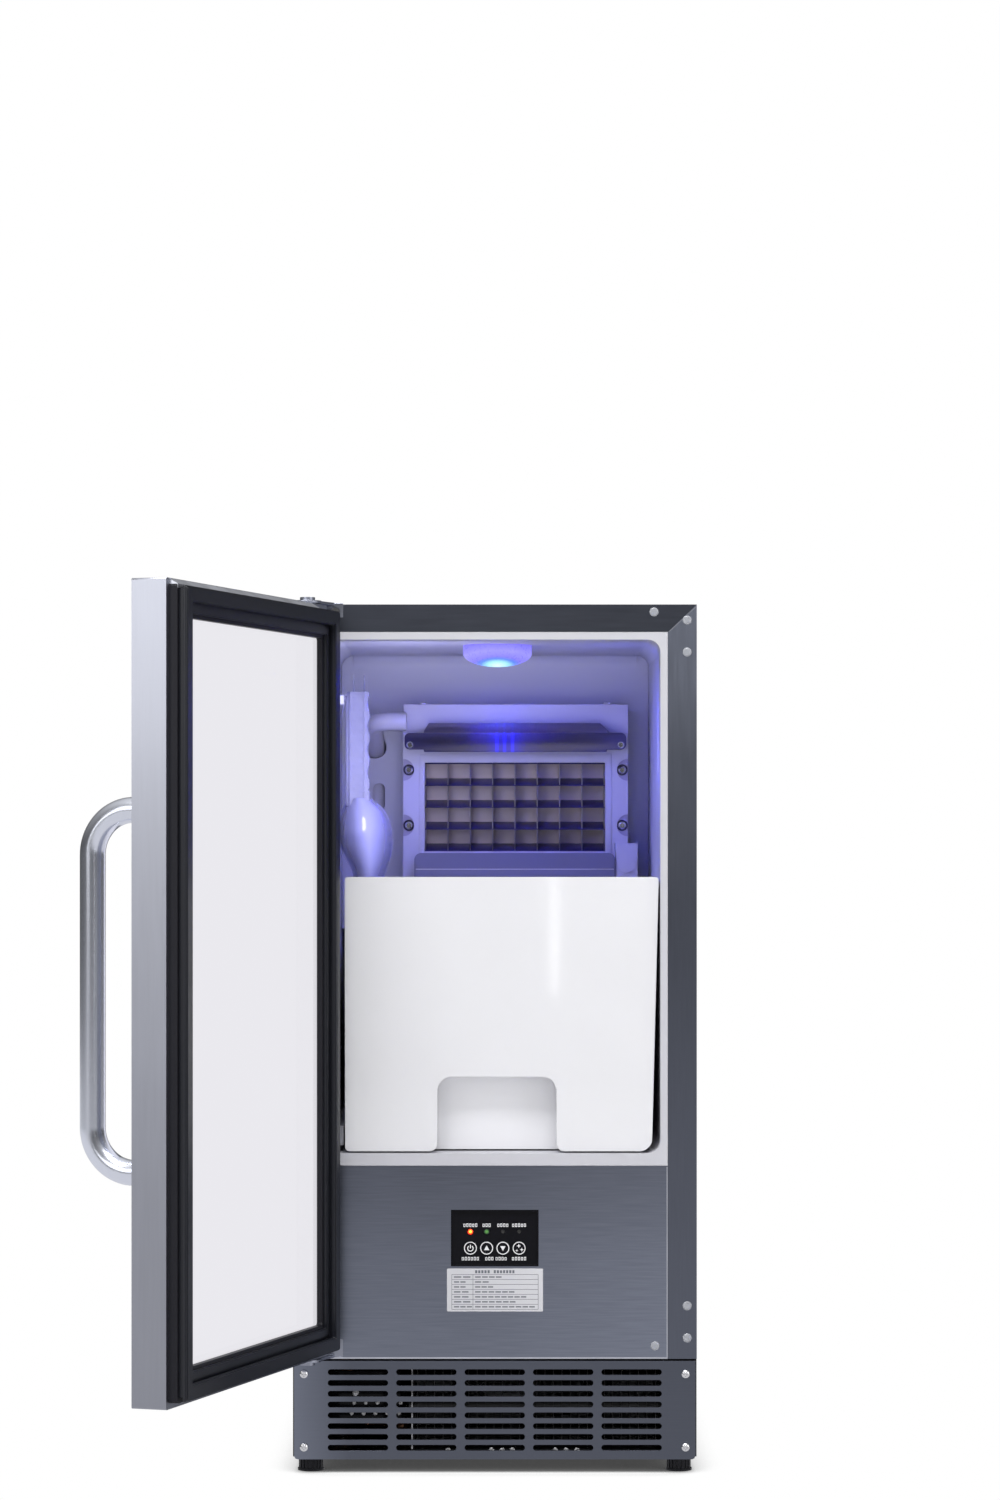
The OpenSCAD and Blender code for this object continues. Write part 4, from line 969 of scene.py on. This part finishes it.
def add_scoop():
    """Clear scoop: a fluted grip with a scalloped edge above a deep bowl that is open at its back."""
    low, high = box_mm("scoop")
    top = high.z
    bm = bmesh.new()
    add_rings(bm, [grip_ring(top, z, min(1.0, 0.9 + 0.05 * step))
                   for step, z in enumerate(levels(top, GRIP_FOOT, SCOOP_STEPS))])
    make_piece("scoop_grip", bm, "scoop", "scoop", ("scoop",))

    bm = bmesh.new()
    turns = [math.radians(180 + 180 * k / 36) for k in range(37)]
    add_rings(bm, [bowl_ring(z, turns) for z in levels(BOWL_TOP, BOWL_FOOT, SCOOP_STEPS)])
    make_piece("scoop_bowl", bm, "scoop_bowl", "scoop", ("scoop",))

    bm = bmesh.new()
    heights = levels(BOWL_TOP - RIM_INSET, BOWL_FOOT + RIM_INSET, RIM_STEPS)
    for stops, inset in ((SCOOP_LEFT, BOWL_RIM), (SCOOP_RIGHT, -BOWL_RIM)):
        edge = [(blend_along(stops, z) + inset, blend_along(SCOOP_BACK, z), z) for z in heights]
        add_tube(bm, edge, BOWL_RIM, 12)
    make_piece("scoop_rim", bm, "scoop", "scoop", ("scoop",))

    bm = bmesh.new()
    near, far = LIP_DEPTHS
    add_block(bm, (low.x, near, LIP_FOOT), (low.x + 2.8, far, top - 2))
    add_block(bm, (low.x, near, top - 4.8), (GRIP_LEFT + 3, far, top - 2))
    make_piece("scoop_lip", bm, "scoop", "scoop", ("scoop",), 0.5)


GUARD_DEPTHS = (106.5, 109.5)
GUARD_HEIGHTS = (724, 752)
GUARD_PRONGS = (-136.6, -126.6)
GUARD_PRONG = 1.4
GUARD_BAR = 1.6


def add_hook_guard():
    """Thin clear fork behind the scoop's grip."""
    bm = bmesh.new()
    near, far = GUARD_DEPTHS
    foot, top = GUARD_HEIGHTS
    left, right = GUARD_PRONGS
    for x in GUARD_PRONGS:
        add_block(bm, (x, near, foot), (x + GUARD_PRONG, far, top))
    add_block(bm, (left, near, foot), (right + GUARD_PRONG, far, foot + GUARD_BAR))
    make_piece("hook_guard", bm, "scoop", CABINET, (), 0.3)


BAR_FOOT = 683.5
BAR_TOP = 700
BAR_ROUND = 5
BAR_DEPTH = 12
BAR_TAB = (-70.6, 110.9)  # the bar's middle, which hangs down to the cover's foot


def add_cover():
    """Polished bar over the water distributor, with a lip above it."""
    low, high = box_mm("distributor_cover")
    left = low.x + BAR_ROUND
    right = high.x - BAR_ROUND
    tab_left, tab_right = BAR_TAB
    bm = bmesh.new()
    outline = arc_points((right, BAR_TOP - BAR_ROUND), BAR_ROUND, 0, 90, 8)
    outline += arc_points((left, BAR_TOP - BAR_ROUND), BAR_ROUND, 90, 180, 8)
    outline += arc_points((left, BAR_FOOT + BAR_ROUND), BAR_ROUND, 180, 270, 8)
    outline += [(tab_left, BAR_FOOT), (tab_left, low.z), (tab_right, low.z), (tab_right, BAR_FOOT)]
    outline += arc_points((right, BAR_FOOT + BAR_ROUND), BAR_ROUND, 270, 360, 8)
    add_prism(bm, outline, low.y, low.y + BAR_DEPTH)
    make_piece("cover_bar", bm, "cover", CABINET, ("distributor_cover",), 0.7)
    bm = bmesh.new()
    add_prism(bm, [(-71, BAR_TOP - 1), (113, BAR_TOP - 1), (112.6, BAR_TOP + 2), (104, high.z),
                   (-65.7, high.z), (tab_left, BAR_TOP + 2)], low.y + 2, low.y + 10)
    make_piece("cover_lip", bm, "cover_lip", CABINET, ("distributor_cover",), 0.6)
    bm = bmesh.new()
    add_block(bm, (low.x + 6, low.y + 6, BAR_FOOT + 2), (high.x - 6, high.y, BAR_TOP - 1))
    make_piece("cover_core", bm, "cover_lip", CABINET, ("distributor_cover",), 0.4)


# ----- machine room and painted highlights -----

LOUVRE_FRONT = 30
LOUVRE_HEIGHTS = (46, 92)
LOUVRE_LEFT = -158
LOUVRE_RIVETS = [(-131.5, 71.6, 3), (-88.5, 62, 2)]  # right, up and radius
LOUVRE_RIVETS += [(-132.7 + 11 * k, 62, 2) for k in range(3)]
LOUVRE_RIVETS += [(-135 + 11.2 * k, 52.2, 2.1) for k in range(5)]
PAN_RIVETS = (-44, -34.6, -3.3, 7, 16.5, 57, 67, 77.2)
PAN_RIVET = [(2.5, 19.6), (2.5, 19.2), (1.8, 18.7), (0.1, 18.5)]
PAN_RIVET_HEIGHT = 18.8
STRIP_LOW = (-78.4, 18.6, 20)
STRIP_HIGH = (-77.2, 20, 150)


def add_machine_front():
    """Edge strip of the condenser and rows of bright rivets, glimpsed through the toe grille."""
    bm = bmesh.new()
    add_block(bm, STRIP_LOW, STRIP_HIGH)
    make_piece("condenser_strip", bm, "zinc", CABINET, (), 0.2)
    bm = bmesh.new()
    louvre_right = box_mm("condenser")[0].x - 8
    add_block(bm, (LOUVRE_LEFT, LOUVRE_FRONT, LOUVRE_HEIGHTS[0]),
              (louvre_right, LOUVRE_FRONT + 1.5, LOUVRE_HEIGHTS[1]))
    make_piece("louvre_plate", bm, "black_gloss", CABINET, (), 0.3)
    bm = bmesh.new()
    for x, z, radius in LOUVRE_RIVETS:
        head = [(radius, LOUVRE_FRONT), (radius, LOUVRE_FRONT - 0.6), (radius * 0.7, LOUVRE_FRONT - 1.2),
                (0.1, LOUVRE_FRONT - 1.4)]
        add_turned(bm, head, (x, 0, z), DEPTH, 20)
    for x in PAN_RIVETS:
        add_turned(bm, PAN_RIVET, (x, 0, PAN_RIVET_HEIGHT), DEPTH, 20)
    make_piece("rivets", bm, "rivet", CABINET)


DOOR_AXIS = Vector((-173.6, -30.8, 0))
DOOR_TURN = -108.26
# Section of the door's top edge as (depth, height), and its span, with the door shut
DOOR_EDGE = [(-17.7, 810.5), (-9.4, 805.7), (-9.4, 802.2), (-9.66, 802.2), (-9.66, 805.58), (-17.7, 805.58)]
DOOR_EDGE_SPAN = (-150, 183.5)


def add_painted_highlights():
    """Painted highlights on the frame's mitre, the panel's fold, the door's top edge and the bezel's ledge.
    """
    low, high = box_mm("frame_right")
    band = box_mm("frame_top")[0].z
    # painted highlight along the frame's mitre
    bm = bmesh.new()
    add_prism(bm, [(low.x + 0.8, band + 0.2), (low.x + 1.6, band + 0.2), (high.x - 0.8, high.z - 2.6),
                   (high.x - 0.8, high.z - 1.8)], low.y - 0.06, low.y + 0.3)
    make_piece("mitre_edge", bm, "rim_steel", CABINET)
    low, high = box_mm("lower_front_panel")
    near = low.y - 0.1
    far = low.y + 0.4
    # painted highlights along the panel's folded foot and its right edge
    bm = bmesh.new()
    add_block(bm, (low.x + 1, near, low.z + 0.2), (high.x - 0.1, far, low.z + 1.6))
    add_block(bm, (high.x - 1.0, near, low.z + 1.6), (high.x - 0.1, far, high.z - 1))
    make_piece("panel_fold", bm, "rim_steel", CABINET)
    # painted highlight: a grey line along the bezel's ledge
    low, high = box_mm("control_bezel")
    bm = bmesh.new()
    add_block(bm, (low.x + 1, low.y - 0.04, high.z - 4.7), (high.x - 1, low.y + 0.2, high.z - 4.3))
    make_piece("bezel_ledge", bm, "print_grey", CABINET)
    # the door's rolled top edge, drawn in brighter steel as a painted highlight
    bm = bmesh.new()
    add_rings(bm, [[(x, y, z) for y, z in DOOR_EDGE] for x in DOOR_EDGE_SPAN])
    turn = Matrix.Translation(DOOR_AXIS) @ Matrix.Rotation(math.radians(DOOR_TURN), 4, "Z")
    make_piece("door_top_edge", bm, "rim_steel", "door", (), 0.0,
               turn @ Matrix.Translation(-DOOR_AXIS))


# ----- studio, in metres -----

FLOOR_SIZE = 12
FLOOR_MIRRORED = (0.7, 0.7, 0.72)
SHADOW_REACH = 0.06
SHADOW_STOPS = ((0.0, 0.03), (0.25, 0.2), (0.5, 0.7), (0.7, 1.0))
WHITE = (1, 1, 1)


def add_floor():
    """White floor that only darkens close to what stands on it."""
    bpy.ops.mesh.primitive_plane_add(size=FLOOR_SIZE, location=(0, 0, 0))
    floor = bpy.context.object
    floor.name = "floor"
    material, tree, shader = new_material("floor")
    shader.inputs["Roughness"].default_value = 0.7
    tree.links.new(spread(tree, noise_fac(tree, 2.0, 2.0), 0.88, 0.9), shader.inputs["Base Color"])
    near = tree.nodes.new("ShaderNodeAmbientOcclusion")
    near.inputs["Distance"].default_value = SHADOW_REACH
    seen = emission(tree, ramp(tree, near.outputs["AO"], *SHADOW_STOPS))
    surface = by_ray(tree, shader.outputs["BSDF"], emission(tree, FLOOR_MIRRORED), seen)
    tree.links.new(surface, tree.nodes["Material Output"].inputs["Surface"])
    floor.data.materials.append(material)


# Grey of the sky from straight below to straight above
LIGHT_SKY = ((0.0, 0.12), (0.6, 0.2))
MIRRORED_SKY = ((0.0, 0.1), (0.15, 0.1), (0.5, 0.3), (1.0, 0.8))


def add_world():
    """White behind the object, a dim sky for soft light and a brighter one for metal to mirror."""
    world = bpy.data.worlds.new("studio")
    scene.world = world
    world.use_nodes = True
    tree = world.node_tree
    tree.nodes.clear()
    output = tree.nodes.new("ShaderNodeOutputWorld")
    height = place_along(tree, HEIGHT)
    skies = []
    for stops in (LIGHT_SKY, MIRRORED_SKY):
        sky = tree.nodes.new("ShaderNodeBackground")
        tree.links.new(ramp(tree, height, *stops), sky.inputs["Color"])
        skies.append(sky.outputs["Background"])
    behind = tree.nodes.new("ShaderNodeBackground")
    behind.inputs["Color"].default_value = (*WHITE, 1)
    surface = by_ray(tree, *skies, behind.outputs["Background"])
    tree.links.new(surface, output.inputs["Surface"])


BLUE_GLOW = (0.14, 0.15, 1.0)
BLUE_DIODE = (0.03, 0.03, 1.0)
BLUE_FILL = (0.03, 0.05, 1.0)
ROOM_FILL = (0.52, 0.53, 0.96)

# Name, place, target, size, power in watts and, where needed, colour and whether metal mirrors it
FRONT_LIGHTS = (
    ("front_box", (-0.2, -1.75, 3.2), (0, 0, 0.45), (2.4, 1.2), 118),
    ("left_box", (-2.1, -2.7, 1.5), (-0.3, -0.3, 0.7), (1.6, 1.6), 14),
    ("right_box", (2.4, -1.7, 1.0), (0, 0, 0.4), (1.2, 1.8), 12),
    ("strip", (0.077, -1.5, 0.487), (0.077, 0, 0.487), (0.014, 0.18), 0.03),
    ("low_box", (0, -2.2, 0.3), (0, 0, 0.38), (1.0, 0.5), 4.5, WHITE, False),
    ("grip_fill", (0.002, 0.008, 0.338), (0.002, 0.03, 0.338), (0.09, 0.05), 0.006, WHITE, False),
)
ROOM_LIGHTS = (
    ("room_fill", (-0.08, 0.016, 0.67), (-0.08, 0.3, 0.66), (0.1, 0.18), 0.36, ROOM_FILL, False),
    ("blue_fill", (0.1, 0.02, 0.7), (0.13, 0.3, 0.6), (0.06, 0.12), 0.15, BLUE_FILL, False),
)
GLOW_SIZE = (0.05, 0.05)
GLOW_POWER = 0.42
DIODES = 3
DIODE_PITCH = 0.0077
DIODE_SIZE = (0.0015, 0.0015)
DIODE_POWER = 0.12
LAMP_GAP = 0.002  # from the lamp's lens down to its lights


def add_area(name, place, target, size, power, colour=WHITE, mirrored=True):
    data = bpy.data.lights.new(name, "AREA")
    data.shape = "RECTANGLE"
    data.size, data.size_y = size
    data.energy = power
    data.color = colour
    light = bpy.data.objects.new(name, data)
    light.visible_camera = False
    light.visible_glossy = mirrored
    light.location = place
    light.rotation_euler = (Vector(target) - Vector(place)).to_track_quat("-Z", "Y").to_euler()
    scene.collection.objects.link(light)
    return light


def add_lights():
    """Soft boxes in front, small fills inside, and the lamp's glow with its three diodes."""
    for light in FRONT_LIGHTS:
        add_area(*light)
    low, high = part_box("lamp_lens")
    x = (low.x + high.x) / 2
    y = (low.y + high.y) / 2
    z = low.z - LAMP_GAP
    add_area("lamp_glow", (x, y, z), (x, y, 0), GLOW_SIZE, GLOW_POWER, BLUE_GLOW, False)
    for light in ROOM_LIGHTS:
        add_area(*light)
    for k in range(DIODES):
        place = (x + (k - 0.4) * DIODE_PITCH, y, z)
        diode = add_area("led_%d" % k, place, (place[0], y, 0), DIODE_SIZE, DIODE_POWER, BLUE_DIODE)
        diode.visible_diffuse = False


add_camera()
dress_nodes()
add_button_marks()
add_panel()
add_label_print()
add_lamp()
add_grid()
add_housing_trim()
add_sump_trim()
add_hoses()
add_scoop()
add_hook_guard()
add_cover()
add_machine_front()
add_painted_highlights()
add_floor()
add_world()
add_lights()
scene.view_settings.view_transform = "Standard"
